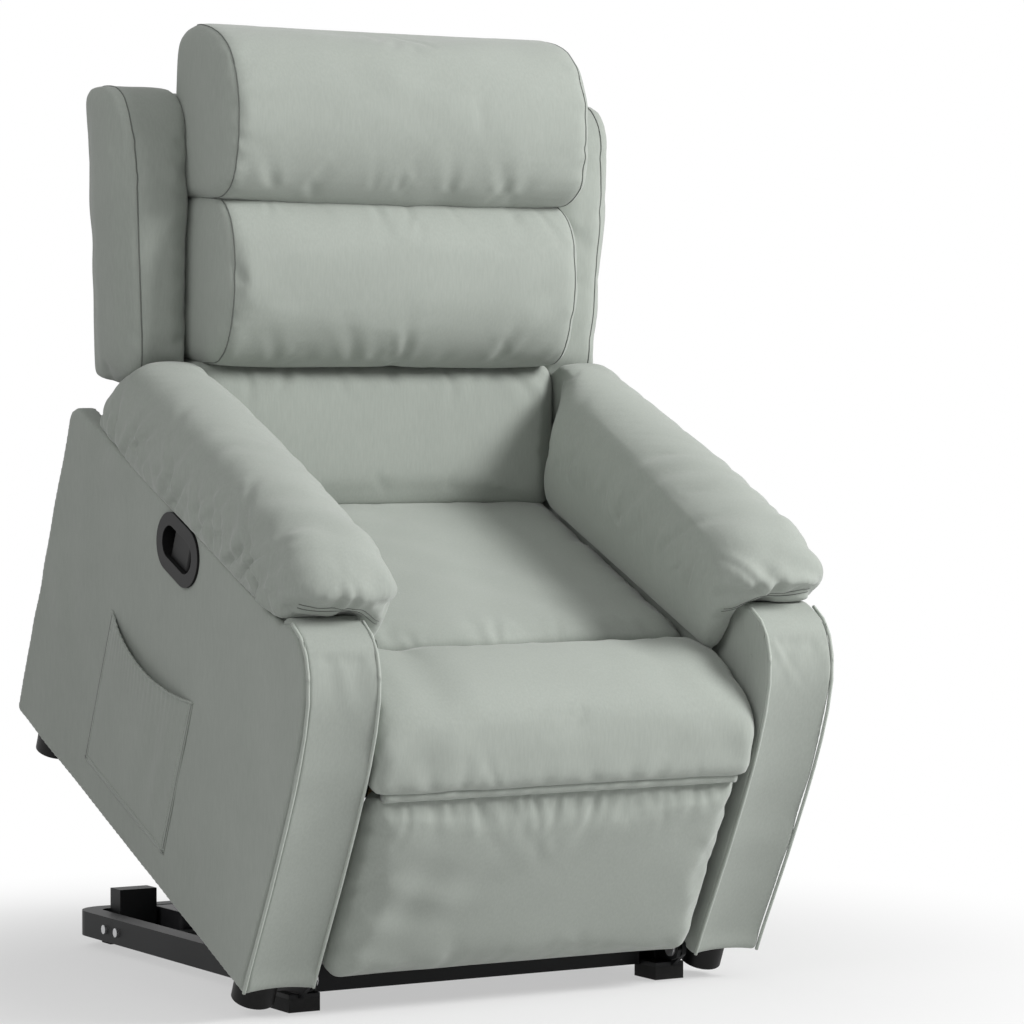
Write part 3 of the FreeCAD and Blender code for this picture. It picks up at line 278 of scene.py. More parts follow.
def closed_curve(controls, count):
    """Evenly spaced points on a smooth closed curve through the control points."""
    p = np.asarray(controls, float)
    steps = np.linspace(0, 1, 24, endpoint=False)[:, None]
    dense = []
    for i in range(len(p)):
        a, b, c, d = p[i - 1], p[i], p[(i + 1) % len(p)], p[(i + 2) % len(p)]
        dense.append(0.5 * (2 * b + (c - a) * steps + (2 * a - 5 * b + 4 * c - d) * steps ** 2
                            + (3 * b - a - 3 * c + d) * steps ** 3))
    return spaced(np.vstack(dense), count, True)


def spaced(path, count, closed):
    """The same path with evenly spaced points."""
    loop = np.vstack([path, path[:1]]) if closed else path
    reach = np.concatenate([[0], np.cumsum(np.linalg.norm(np.diff(loop, axis=0), axis=1))])
    wanted = np.linspace(0, reach[-1], count, endpoint=not closed)
    return np.column_stack([np.interp(wanted, reach, loop[:, k]) for k in range(loop.shape[1])])


def outward(loop):
    """Unit outward normals of a closed 2-D loop."""
    along = np.roll(loop, -1, 0) - np.roll(loop, 1, 0)
    normal = np.column_stack([along[:, 1], -along[:, 0]])
    normal /= np.linalg.norm(normal, axis=1)[:, None] + 1e-12
    area = np.sum(loop[:, 0] * np.roll(loop[:, 1], -1) - np.roll(loop[:, 0], -1) * loop[:, 1])
    return normal if area > 0 else -normal


def ripple(x, pitch, seed, octaves=3):
    """Smooth unrepeating wave of about that pitch, between about -1 and 1."""
    total = np.zeros_like(np.asarray(x, float))
    for k in range(octaves):
        rate = (1.0 + 0.37 * k) * 2 * math.pi / pitch
        total += np.sin(rate * x + seed * (2.3 + k) + 1.7 * np.sin(rate * 0.31 * x + seed)) / (1 + 0.6 * k)
    return total / 1.8


def smoothstep(low, high, x):
    t = np.clip((x - low) / (high - low), 0, 1)
    return t * t * (3 - 2 * t)


def across_at(x, line):
    """A line of (y, z) points set at one x."""
    return np.column_stack([np.full(len(line), x), line])


def skin(name, rings, matrix, levels=1):
    """A closed mesh through rings of points, all of one even length, bridged across at each end."""
    rings = np.asarray(rings)
    count, size = rings.shape[:2]
    verts = rings.reshape(-1, 3).tolist()
    faces = []
    for i in range(count - 1):
        for j in range(size):
            k = (j + 1) % size
            faces.append((i * size + j, i * size + k, (i + 1) * size + k, (i + 1) * size + j))
    for ring in (0, count - 1):
        start, last = ring * size, ring * size + size - 1
        faces += [(start + j, start + j + 1, last - j - 1, last - j) for j in range(size // 2 - 1)]
    return solid_object(name, verts, faces, matrix, UPHOLSTERY, levels)


def smooth_shaded(mesh):
    mesh.polygons.foreach_set("use_smooth", [True] * len(mesh.polygons))


def subdivided(piece, levels):
    """Adds a subdivision surface."""
    smooth = piece.modifiers.new("smooth", "SUBSURF")
    smooth.levels = smooth.render_levels = levels
    return smooth


def solid_object(name, verts, faces, matrix, material, levels=0):
    """A smooth-shaded object from points in a frame."""
    mesh = bpy.data.meshes.new(name)
    mesh.from_pydata([matrix @ Vector(v) for v in verts], [], faces)
    mesh.validate()
    shell = bmesh.new()
    shell.from_mesh(mesh)
    bmesh.ops.recalc_face_normals(shell, faces=shell.faces)
    shell.to_mesh(mesh)
    shell.free()
    smooth_shaded(mesh)
    piece = bpy.data.objects.new(name, mesh)
    bpy.context.scene.collection.objects.link(piece)
    mesh.materials.append(material)
    if levels:
        subdivided(piece, levels).use_limit_surface = False
    return piece


def end_rings(ring, x, sign, bulge):
    """Rings that close a side: they draw in to the outline's long middle line while the side swells."""
    low, high = ring[:, 1:].min(0), ring[:, 1:].max(0)
    size = high - low
    long_way = int(np.argmax(size))
    half = size[1 - long_way] / 2
    middle = np.tile((low + high) / 2, (len(ring), 1))
    middle[:, long_way] = np.clip(ring[:, 1 + long_way], low[long_way] + half, high[long_way] - half)
    rings = []
    for shrink in (0.93, 0.82, 0.65, 0.45, 0.25, 0.06):
        part = ring.copy()
        part[:, 1:] = middle + (ring[:, 1:] - middle) * shrink
        part[:, 0] = x + sign * bulge * (1 - shrink ** 2)
        rings.append(part)
    return rings


def pillow(name, controls, low, high, matrix, edge=0.02, bulge=0.006, count=112, columns=44):
    """A stuffed form: a (y, z) outline carried across from x = low to high, rounded in at its sides."""
    ring = closed_curve(controls, count)
    normal = outward(ring)
    middle, half = (low + high) / 2, (high - low) / 2
    turn = np.linspace(0, math.pi / 2, 7)
    flat = np.linspace(-(half - edge), half - edge, columns)
    stations = [(-half + edge * (1 - math.sin(a)), edge * (1 - math.cos(a))) for a in turn[::-1]]
    stations += [(x, 0) for x in flat[1:-1]]
    stations += [(half - edge * (1 - math.sin(a)), edge * (1 - math.cos(a))) for a in turn]
    rings = [across_at(x + middle, ring - normal * inset) for x, inset in stations]
    first = end_rings(rings[0], rings[0][0, 0], -1, bulge)[::-1]
    last = end_rings(rings[-1], rings[-1][0, 0], 1, bulge)
    return skin(name, first + rings + last, matrix)


def crosswise(along):
    """Two unit vectors square to a direction and to each other."""
    helper = np.array([0, 0, 1]) if abs(along[2]) < 0.9 else np.array([1, 0, 0])
    side = np.cross(along, helper)
    side /= np.linalg.norm(side)
    return side, np.cross(side, along)


def ring_points(centre, radius, along, sides):
    """Points round a centre, square to a direction."""
    side, up = crosswise(along)
    turns = [2 * math.pi * k / sides for k in range(sides)]
    return [(centre + radius * (math.cos(turn) * side + math.sin(turn) * up)).tolist() for turn in turns]


def ring_faces(base, count, sides):
    """Faces of a closed tube of rings whose first point has the number base."""
    faces = []
    for start in range(base, base + (count - 1) * sides, sides):
        for k in range(sides):
            m = (k + 1) % sides
            faces.append((start + k, start + m, start + sides + m, start + sides + k))
    last = base + (count - 1) * sides
    return faces + [tuple(range(base, base + sides))[::-1], tuple(range(last, last + sides))]


def tube_along(name, path, radius, matrix, material=PIPING_HIGHLIGHT, sides=8):
    """A round cord sewn along a path of 3-D points."""
    path = np.asarray(path)
    count = len(path)
    verts = []
    for i, point in enumerate(path):
        along = path[min(i + 1, count - 1)] - path[max(i - 1, 0)]
        verts += ring_points(point, radius, along / (np.linalg.norm(along) + 1e-12), sides)
    return solid_object(name, verts, ring_faces(0, count, sides), matrix, material)


def stitches(name, path, spacing, matrix):
    """A row of short raised thread stitches along a path, in a lighter copy of the cloth: painted highlight
    on the stitches.
    """
    length = float(np.linalg.norm(np.diff(path, axis=0), axis=1).sum())
    path = spaced(path, max(int(length / spacing), 2), False)
    outline = ((-0.5, 0.3), (-0.3, 1), (0.3, 1), (0.5, 0.3))  # shares of a stitch's length and radius
    sides = 5
    verts, faces = [], []
    for first, second in zip(path[:-1], path[1:]):
        along = (second - first) / np.linalg.norm(second - first)
        faces += ring_faces(len(verts), len(outline), sides)
        for reach, wide in outline:
            verts += ring_points(first + along * reach * STITCH_LENGTH, wide * STITCH_RADIUS, along, sides)
    return solid_object(name, verts, faces, matrix, THREAD_HIGHLIGHT)


def soft(piece, body, stands_for):
    """Declares an upholstered piece: what it rides on and what it stands for."""
    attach(piece, body)
    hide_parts(stands_for)


def trim(piece, body):
    """Declares a sewn detail, such as piping, thread, a seam line or a fold; piping and thread carry
    painted highlight, seam lines painted shade.
    """
    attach(piece, body)


def local_shape(piece, matrix):
    """Vertex places and normals of a piece in a frame."""
    mesh = piece.data
    places, normals = np.empty(len(mesh.vertices) * 3), np.empty(len(mesh.vertices) * 3)
    mesh.vertices.foreach_get("co", places)
    mesh.vertices.foreach_get("normal", normals)
    turned = np.array(matrix.inverted())
    turn = turned[:3, :3].T
    return places.reshape(-1, 3) @ turn + turned[:3, 3], normals.reshape(-1, 3) @ turn


def put_back(piece, matrix, places):
    """Moves a piece's vertices to new places in a frame."""
    placed = np.array(matrix)
    piece.data.vertices.foreach_set("co", (places @ placed[:3, :3].T + placed[:3, 3]).ravel())
    piece.data.update()


def settle(piece):
    """Applies a piece's modifiers to its mesh."""
    graph = bpy.context.evaluated_depsgraph_get()
    mesh = bpy.data.meshes.new_from_object(piece.evaluated_get(graph))
    piece.modifiers.clear()
    piece.data = mesh
    return piece


def evened(piece, voxel):
    """Remeshes a piece into small even faces."""
    remesh = piece.modifiers.new("even", "REMESH")
    remesh.mode = "VOXEL"
    remesh.voxel_size = voxel
    settle(piece)


def stuffed(piece, matrix, swell, held):
    """Blows a closed cover up like filled cloth: points move at most swell, less where held() is low."""
    settle(piece)
    evened(piece, CLOTH_VOXEL)
    start, _ = local_shape(piece, matrix)
    cloth = piece.modifiers.new("stuffing", "CLOTH")
    cloth.settings.use_pressure = True
    cloth.settings.uniform_pressure_force = CLOTH_PRESSURE
    cloth.settings.effector_weights.gravity = 0
    cloth.settings.quality = 4
    for step in range(1, CLOTH_STEPS + 1):
        bpy.context.scene.frame_set(step)
    settle(piece)
    end, _ = local_shape(piece, matrix)
    moved = end - start
    reach = np.linalg.norm(moved, axis=1)[:, None] + 1e-9
    moved *= np.minimum(1, swell / reach) * held(start)[:, None]
    put_back(piece, matrix, start + moved)
    bpy.context.scene.frame_set(1)
    subdivided(piece, 1)
    settle(piece)
    smooth_shaded(piece.data)


def worked(piece, matrix, relief):
    """Moves each point along its normal by relief(x, y, z): seams, tucks and folds."""
    places, normals = local_shape(piece, matrix)
    put_back(piece, matrix, places + normals * relief(*places.T)[:, None])


def folds(u, v, start, end, count, seed, reach, width, depth, lean=0.5):
    """Creases that begin beside a seam (v = 0) at scattered places along u and fade out as v grows.

    reach, width and depth are typical sizes of one crease, and lean is the largest slant either way.
    """
    pick = random.Random(seed)
    total = np.zeros_like(u)
    for index in range(count):
        place = start + (end - start) * (index + pick.uniform(0.1, 0.9)) / count
        long = reach * pick.uniform(0.45, 1.25)
        wide = width * pick.uniform(0.7, 1.4)
        deep = depth * pick.uniform(0.35, 1.0)
        slant, bend = pick.uniform(-lean, lean), pick.uniform(-4, 4)
        along = np.maximum(v, 0) / long
        off = (u - place - slant * v - bend * v * v) / (wide * (1 + 0.6 * np.minimum(along, 3)))
        fade = np.exp(-along ** 2) * smoothstep(1 * MM, 14 * MM, v)
        banks = 0.55 * np.exp(-(off - 1.7) ** 2) + 0.4 * np.exp(-(off + 1.8) ** 2)
        total -= deep * fade * (np.exp(-off ** 2) - banks)
    return total


def groove(distance, width, depth):
    """Dip along a sewn line, from the distance to it."""
    return -depth * np.exp(-(distance / width) ** 2)


def back_pad(solid, name, marks, grow, box, swell, relief, rise, sides=SIDES):
    """One boxed cushion of the back, its outline from (across, up) shares of its CAD solid's box.

    The cushion is wider by grow on each side, and its low and high ends move by the two rises.
    """
    lo, hi = span(solid, back)
    rear, front, low, top = hi[1], lo[1], lo[2] + rise[0], hi[2] + rise[1]
    outline = [(rear - across * (rear - front), low + up * (top - low)) for across, up in marks]
    half = hi[0] + grow
    piece = pillow(name, outline, -half, half, back, edge=box, bulge=1 * MM)
    middle = (rear + front) / 2
    stuffed(piece, back, swell,
            lambda at: (0.15 + 0.85 * smoothstep(middle + 0.03, middle - 0.03, at[:, 1]))
            * (0.25 + 0.75 * smoothstep(half, half - 0.03, np.abs(at[:, 0]))))

    def surface(x, y, z):
        return relief(x, y, z, half, low, top) * smoothstep(middle + 0.02, middle - 0.02, y)

    worked(piece, back, surface)
    ring = closed_curve(outline, 120)
    ring = ring[ring[:, 0] < rear - 0.045]
    start = int(np.argmax(np.linalg.norm(np.diff(ring, axis=0), axis=1))) + 1
    ring = np.roll(ring, -start, axis=0) if np.linalg.norm(ring[0] - ring[-1]) < 0.03 else ring
    # Dark cords near the boxed sides: painted shade along the side seams.
    for label, side in sides:
        seam = across_at(side * (half - box * 0.62), ring)
        sewn(f"{name}_seam_{label}", piece, seam, back, "backrest")
    soft(piece, "backrest", solid)


def open_oval(piece, x_face):
    """Cuts the hole that the handle cup sits in."""
    lo, hi = span("handle_cup", chair)
    rim = 12 * MM
    radius = (hi[2] - lo[2]) / 2 - rim
    centre_y, centre_z = (lo[1] + hi[1]) / 2, (lo[2] + hi[2]) / 2
    reach = (hi[1] - lo[1] - (hi[2] - lo[2])) / 2
    loop = []
    for turn in np.linspace(0, 2 * math.pi, 48, endpoint=False):
        loop.append((centre_y + math.copysign(reach, math.cos(turn)) + radius * math.cos(turn),
                     centre_z + radius * math.sin(turn)))
    rings = [across_at(x_face + shift, loop) for shift in (-0.02, 0.05)]
    cutter = skin("oval_cutter", rings, chair, levels=0)
    cut = piece.modifiers.new("hole", "BOOLEAN")
    cut.object = cutter
    cut.operation = "DIFFERENCE"
    cut.solver = "EXACT"
    settle(piece)
    bpy.data.objects.remove(cutter)


def sewn(name, piece, path, matrix, body, radius=SEAM_RADIUS, toward=None):
    """A seam's painted shade: a thin cord in the dark seam_shadow cloth laid on the piece's surface,
    nearest to a path or from it along a direction.

    Points that land more than 9 mm from the last one are left out, so that the cord doesn't jump.
    """
    tree = BVHTree.FromPolygons([vertex.co for vertex in piece.data.vertices],
                                [tuple(polygon.vertices) for polygon in piece.data.polygons])
    turned = matrix.inverted()
    laid = []
    for point in spaced(np.asarray(path), 110, False):
        start = matrix @ Vector(point)
        found = tree.find_nearest(start)[0] if toward is None else tree.ray_cast(
            start, matrix.to_3x3() @ Vector(toward))[0]
        if found is not None and (not laid or (turned @ found - laid[-1]).length < 9 * MM):
            laid.append(turned @ found)
    laid = np.array([tuple(point) for point in laid])
    trim(tube_along(name, laid, radius, matrix, SEAM_SHADE, sides=6), body)


def round_end(share):
    """Quarter-circle rise from 0 to 1 as share goes from 0 to 1."""
    return math.sqrt(max(1 - max(1 - share, 0) ** 2, 0))


# ---------------------------------------------------------------- backrest

def back_cushions():
    """Head pillow over lumbar roll over lower cushion, with boxed sides and tight creases between them."""
    head = [(0.0, 0.10), (0.0, 0.50), (0.02, 0.84), (0.12, 0.965), (0.34, 1.0), (0.60, 0.955),
            (0.82, 0.85), (0.955, 0.66), (1.0, 0.42), (0.975, 0.20), (0.885, 0.05), (0.70, -0.015),
            (0.4, -0.02), (0.1, -0.01)]
    roll = [(0.0, 0.06), (0.0, 0.94), (0.06, 1.0), (0.5, 1.01), (0.70, 1.0), (0.86, 0.92), (0.965, 0.76),
            (1.0, 0.54), (0.985, 0.33), (0.90, 0.13), (0.74, 0.01), (0.56, -0.01), (0.06, 0.0)]
    lower = [(0.0, 0.2), (0.0, 0.95), (0.06, 1.0), (0.62, 1.01), (0.82, 0.985), (0.945, 0.88),
             (0.99, 0.68), (1.0, 0.40), (0.985, 0.06), (0.90, -0.075), (0.62, -0.055), (0.2, 0.12)]

    def head_relief(x, y, z, half, low, top):
        dimple = np.exp(-((x - 0.10) / 0.012) ** 2 - ((z - low - 0.52 * (top - low)) / 0.028) ** 2)
        return (-1.8 * MM * dimple + folds(x, z - low - 0.01, -half, half, 9, 11, 0.05, 7 * MM, 2.4 * MM)
                + folds(z, half - np.abs(x), low, top, 6, 12, 0.05, 8 * MM, 2.0 * MM)
                + 1.8 * MM * ripple(x + 0.6 * z, 0.23, 2.2) * ripple(z - 0.2 * x, 0.17, 0.7))

    def roll_relief(x, y, z, half, low, top):
        return (folds(x, z - low, -half, half, 10, 21, 0.055, 7 * MM, 2.6 * MM)
                + folds(x, top - z, -half, half, 6, 22, 0.04, 6 * MM, 1.6 * MM)
                + folds(z, half - np.abs(x), low, top, 5, 23, 0.05, 8 * MM, 1.8 * MM)
                + 1.6 * MM * ripple(x - 0.4 * z, 0.24, 4.2) * ripple(z, 0.15, 1.9))

    def lower_relief(x, y, z, half, low, top):
        return (folds(x, top - z, -half, half, 10, 31, 0.05, 7 * MM, 2.4 * MM)
                + 1.6 * MM * ripple(x, 0.26, 3.2) * ripple(z, 0.16, 2.9))

    back_pad("head_cushion", "head_pillow", head, 2 * MM, 24 * MM, 9 * MM, head_relief,
             (-5 * MM, -3 * MM))
    back_pad("lumbar_cushion", "lumbar_roll", roll, -4 * MM, 22 * MM, 8 * MM, roll_relief,
             (-4 * MM, 4 * MM))
    back_pad("back_lower_cushion", "lower_back_cushion", lower, 1 * MM, 20 * MM, 7 * MM, lower_relief,
             (0, 5 * MM), ())


def back_wings():
    """Padded wings beside the cushions: boxed, round at the top, with a dark cord near the outer edge that
    paints the shade of a sewn line.
    """
    for name, side in SIDES:
        lo, hi = span("back_wing_" + name, back)
        inner, outer = min(abs(lo[0]), abs(hi[0])), max(abs(lo[0]), abs(hi[0]))
        rear, front, low, top = hi[1], lo[1], lo[2], hi[2]
        deep, tall = rear - front, top - low
        outline = [(rear, low + 0.03 * tall), (rear, low + 0.3 * tall), (rear, low + 0.6 * tall),
                   (rear, top - 0.08 * tall), (rear - 0.04 * deep, top - 8 * MM), (rear - 0.18 * deep, top),
                   (rear - 0.5 * deep, top), (rear - 0.72 * deep, top - 14 * MM),
                   (rear - 0.88 * deep, top - 46 * MM), (front + 2 * MM, top - 0.12),
                   (front, low + 0.5 * tall), (front, low + 0.25 * tall),
                   (front + 3 * MM, low + 0.06 * tall), (front + 0.12 * deep, low + 6 * MM),
                   (rear - 0.5 * deep, low), (rear - 0.08 * deep, low)]
        taper = 24 * MM
        piece = pillow("wing_" + name, outline, lo[0], hi[0], back, edge=13 * MM, bulge=3 * MM, columns=16)
        stuffed(piece, back, 6 * MM, lambda at: 0.2 + 0.8 * smoothstep(rear - 0.02, rear - 0.05, at[:, 1]))
        places, _ = local_shape(piece, back)
        share = np.clip((np.abs(places[:, 0]) - inner) / (outer - inner), 0, 1)
        places[:, 0] -= side * share * taper * (1 - np.clip((places[:, 2] - low) / tall, 0, 1))
        put_back(piece, back, places)

        def relief(x, y, z):
            ahead = smoothstep(rear - 0.02, rear - 0.05, y)
            return (folds(z, (np.abs(x) - inner), low, top, 9, 40 + side, 0.05, 8 * MM, 2.8 * MM) * ahead
                    + 1.4 * MM * ripple(z, 0.18, 2.0 + side))

        worked(piece, back, relief)
        # Dark cord up the front and over the crown: painted shade along the sewn line.
        line = np.linspace(low + 0.02, top - 0.05, 40)
        edge = side * (outer - 17 * MM - taper * (1 - (line - low) / tall))
        seam = np.column_stack([edge, np.full(40, front - 2 * MM), line])
        crown = [(edge[-1], rear - share * deep, top + 2 * MM) for share in (0.8, 0.6, 0.4, 0.2)]
        sewn("wing_seam_" + name, piece, np.vstack([seam, crown]), back, "backrest")
        soft(piece, "backrest", "back_wing_" + name)


def back_cover():
    """Upholstered board behind the posts, sewn in two halves down the middle."""
    lo, hi = span("back_outer_panel", back)
    top = span("back_wing_left", back)[1][2] - 4 * MM
    low, front, rear = lo[2], lo[1], hi[1]
    middle = (low + top) / 2
    outline = [(rear - 1 * MM, low + 0.02), (rear, middle), (rear - 1 * MM, top - 0.03),
               (rear - 6 * MM, top - 6 * MM), (rear - 0.016, top), (front + 2 * MM, top - 4 * MM),
               (front, top - 0.03), (front, middle), (front, low + 0.02), (front + 3 * MM, low),
               (rear - 6 * MM, low)]
    piece = pillow("back_cover", outline, lo[0], hi[0], back, edge=9 * MM, bulge=1 * MM, columns=150)
    settle(piece)

    def relief(x, y, z):
        behind = smoothstep(rear - 8 * MM, rear - 2 * MM, y)
        return behind * (3 * MM * (1 - (x / hi[0]) ** 2) + groove(np.abs(x), 2.6 * MM, 2.4 * MM)
                         + folds(x, top - z, lo[0], hi[0], 10, 51, 0.06, 8 * MM, 1.8 * MM)
                         + 1.4 * MM * ripple(x, 0.2, 3) * ripple(z, 0.23, 1))

    worked(piece, back, relief)
    soft(piece, "backrest", "back_outer_panel")


# ---------------------------------------------------------------- arms

def arm_pads():
    """Pillow arm pads: a wide crown, an inner side that rolls down beside the seat, and a blunt nose."""
    for name, side in SIDES:
        lo, hi = span("arm_pad_" + name, chair)
        inner, outer = min(abs(lo[0]), abs(hi[0])), max(abs(lo[0]), abs(hi[0]))
        top, nose, heel = hi[2], lo[1] - 18 * MM, hi[1]
        floor = span("side_panel_" + name, chair)[1][2]
        seat_top = span("seat_cushion", chair)[1][2]
        wide = outer - inner
        section = [(0.96, floor - 2 * MM), (0.995, floor + 0.024), (0.995, floor + 0.060),
                   (0.93, floor + 0.093), (0.77, top - 1 * MM), (0.54, top + 3 * MM), (0.30, top - 2 * MM),
                   (0.11, top - 0.022), (0.0, floor + 0.048), (-0.01, floor + 0.004), (0.02, floor - 0.040),
                   (0.10, seat_top + 12 * MM), (0.21, seat_top + 6 * MM), (0.27, floor - 0.04),
                   (0.29, floor - 1 * MM), (0.6, floor - 2 * MM)]
        ring = closed_curve([(inner + w * wide, z) for w, z in section], 110)
        normal = outward(ring)
        inner_seam = inner + 0.27 * wide
        nose_turn, heel_turn = np.linspace(0.10, math.pi / 2, 14), np.linspace(0.2, math.pi / 2 - 0.08, 9)
        stations = np.concatenate([nose + NOSE_ROUND * (1 - np.cos(nose_turn)),
                                   np.linspace(nose + 56 * MM, heel - 30 * MM, 84),
                                   heel - HEEL_ROUND * (1 - np.sin(heel_turn))])
        rings = []
        for y in stations:
            ahead, behind = y - nose, heel - y
            inset = (40 * MM * (1 - round_end(ahead / NOSE_ROUND))
                     + 22 * MM * (1 - round_end(behind / HEEL_ROUND)))
            above = ring[:, 1] > floor
            loop = ring - normal * (inset * np.where(above, 1, 0.3))[:, None]
            lowered = floor + (loop[:, 1] - floor) * pad_height(ahead, behind)
            loop[:, 1] = np.where(above, lowered, loop[:, 1])
            keep = smoothstep(60 * MM, 150 * MM, behind)
            drawn_in = inner_seam + (loop[:, 0] - inner_seam) * (0.03 + 0.97 * keep)
            loop[:, 0] = np.where(loop[:, 0] < inner_seam, drawn_in, loop[:, 0])
            hang = (0.05 + 0.95 * keep) * (0.06 + 0.94 * smoothstep(-0.01, 0.08, ahead))
            loop[:, 1] = np.where(above, loop[:, 1], floor + (loop[:, 1] - floor) * hang)
            under_nose = smoothstep(floor + 0.075, floor + 0.004, loop[:, 1])
            tucked = y + NOSE_TUCK * smoothstep(0.10, 0, ahead) * under_nose
            near_floor = smoothstep(floor + 0.05, floor, loop[:, 1])
            loop[:, 1] += NOSE_LIFT * smoothstep(0.06, 0, ahead) * near_floor
            rings.append(np.column_stack([side * loop[:, 0], tucked, loop[:, 1]]))
        piece = skin("arm_pillow_" + name, rings, chair)
        stuffed(piece, chair, 9 * MM, lambda at: smoothstep(floor - 0.09, floor + 0.05, at[:, 2]))

        def relief(x, y, z):
            across = np.clip((np.abs(x) - inner) / wide, 0, 1)
            outside, inside = smoothstep(0.50, 0.85, across), smoothstep(0.4, 0.12, across)
            near_nose = smoothstep(nose + 0.36, nose + 0.02, y)
            length = (nose + 0.03, heel - 0.02)
            seam = z - floor
            gathers = folds(y, seam, *length, 24, 60 + side, 0.085, 6.5 * MM, 8.5 * MM, 1.0)
            gathers = gathers * (0.7 + 0.5 * near_nose)
            gathers += folds(y, seam - 0.02, *length, 14, 62 + side, 0.05, 5 * MM, 5.5 * MM, 1.4)
            hem = seam - 0.034 + 0.5 * (y - nose)
            rays = folds(np.abs(x), hem, inner + 0.02, outer, 7, 66 + side, 0.06, 6 * MM, 5.5 * MM, 0.6)
            rays = rays * smoothstep(nose + 0.13, nose + 0.05, y)
            rays = rays * smoothstep(floor + 0.028, floor + 0.04, z)
            tucks = folds(y, seam + 0.03, *length, 9, 64 + side, 0.09, 11 * MM, 4.0 * MM, 1.1) * near_nose
            waves = ripple(y * 0.8 + x * 0.7, 0.15, 2.7 + side), ripple(y + 0.5 * z, 0.21, 1.9)
            return (outside * gathers + inside * (0.4 * gathers + tucks) + (1 - outside) * rays
                    + 4.0 * MM * waves[0] * waves[1] * (0.5 + 0.6 * near_nose) * smoothstep(0, 0.04, seam))

        worked(piece, chair, relief)
        soft(piece, "chair", "arm_pad_" + name)
        # Two rows of dark cord across each nose: painted shade along the stitched lines.
        for row, drop in (("first", 0), ("second", 6 * MM)):
            reach = np.linspace(0.12, 0.95, 60)
            fall = 0.030 * smoothstep(0.62, 1.0, reach) + 0.004 * reach
            seam = np.column_stack([side * (inner + (1.0 - 0.97 * reach) * wide),
                                    np.full(60, nose - 40 * MM), floor + 0.036 - drop - fall])
            sewn(f"arm_stitch_{name}_{row}", piece, seam, chair, "chair", 0.8 * MM, (0, 1, 0))


def pad_height(ahead, behind):
    """Share of the full height: lower over the nose, and sloping off at the heel."""
    fall = 0.30 * smoothstep(0.11, 0.0, ahead) + 0.08 * smoothstep(0.30, 0.08, ahead)
    heel = 0.50 * smoothstep(0.055, 0.0, behind)
    return 1 - fall - heel


def front_profile():
    """(y, z) points up the arm front's face and back over its top."""
    lo, hi = span("arm_front_left", chair)
    board, front, top = hi[1], lo[1], hi[2]
    deep = board - front
    marks = [(0.60, 0.0), (0.64, 0.07), (0.70, 0.14), (0.86, 0.33), (0.97, 0.52), (1.0, 0.62),
             (0.99, 0.70), (0.93, 0.79), (0.78, 0.875), (0.52, 0.94), (0.18, 0.985), (-0.25, 1.013),
             (-0.80, 1.024)]
    return [(board - across * deep, up * top) for across, up in marks]


def arm_fronts():
    """Curved front bands, drawn back under the arm pads, with piping along both edges in a lighter cloth:
    painted highlight.
    """
    profile = front_profile()
    for name, side in SIDES:
        lo, hi = span("arm_front_" + name, chair)
        board, top = hi[1], hi[2]
        flush = 4 * MM
        low_x, high_x = (lo[0], hi[0] - flush) if side > 0 else (lo[0] + flush, hi[0])
        under = [(62, 10), (66, -2), (40, -5), (14, -6), (0, -8)]
        outline = profile + [(board + y * MM, top + z * MM) for y, z in under]
        outline += [(board, z) for z in (top * 0.75, top * 0.4, 0.03, 0.0)]
        piece = pillow("arm_band_" + name, outline, low_x, high_x, chair, edge=6 * MM, bulge=0.5 * MM,
                       count=170, columns=26)
        settle(piece)

        def relief(x, y, z):
            s = (x - (low_x + high_x) / 2) / ((high_x - low_x) / 2)
            face = smoothstep(board - 4 * MM, board - 18 * MM, y)
            return face * (4.5 * MM * (1 - s * s) + 1.2 * MM * ripple(z, 0.19, 2 + side)
                           + folds(x, top - z, low_x, high_x, 4, 70 + side, 0.05, 7 * MM, 1.4 * MM))

        worked(piece, chair, relief)
        soft(piece, "chair", "arm_front_" + name)
        face = spaced(np.array(profile), 100, False)
        # Piping cords in the lighter piping cloth: painted highlight.
        for edge, pick, inward in (("outer", max, -side), ("inner", min, side)):
            path = across_at(side * pick(abs(lo[0]), abs(hi[0])) + inward * PIPING_GAP, face)
            trim(tube_along(f"arm_piping_{name}_{edge}", path, PIPING_RADIUS, chair), "chair")


def side_panels():
    """Padded outer panels: a soft flat face and rounded edges; the right one has the handle's oval hole."""
    for name, side in SIDES:
        lo, hi = span("side_panel_" + name, chair)
        x_face, x_back = (hi[0], lo[0]) if side > 0 else (lo[0], hi[0])
        panel_sheet(name, side, x_face, x_back, lo[1], hi[1], lo[2], hi[2])


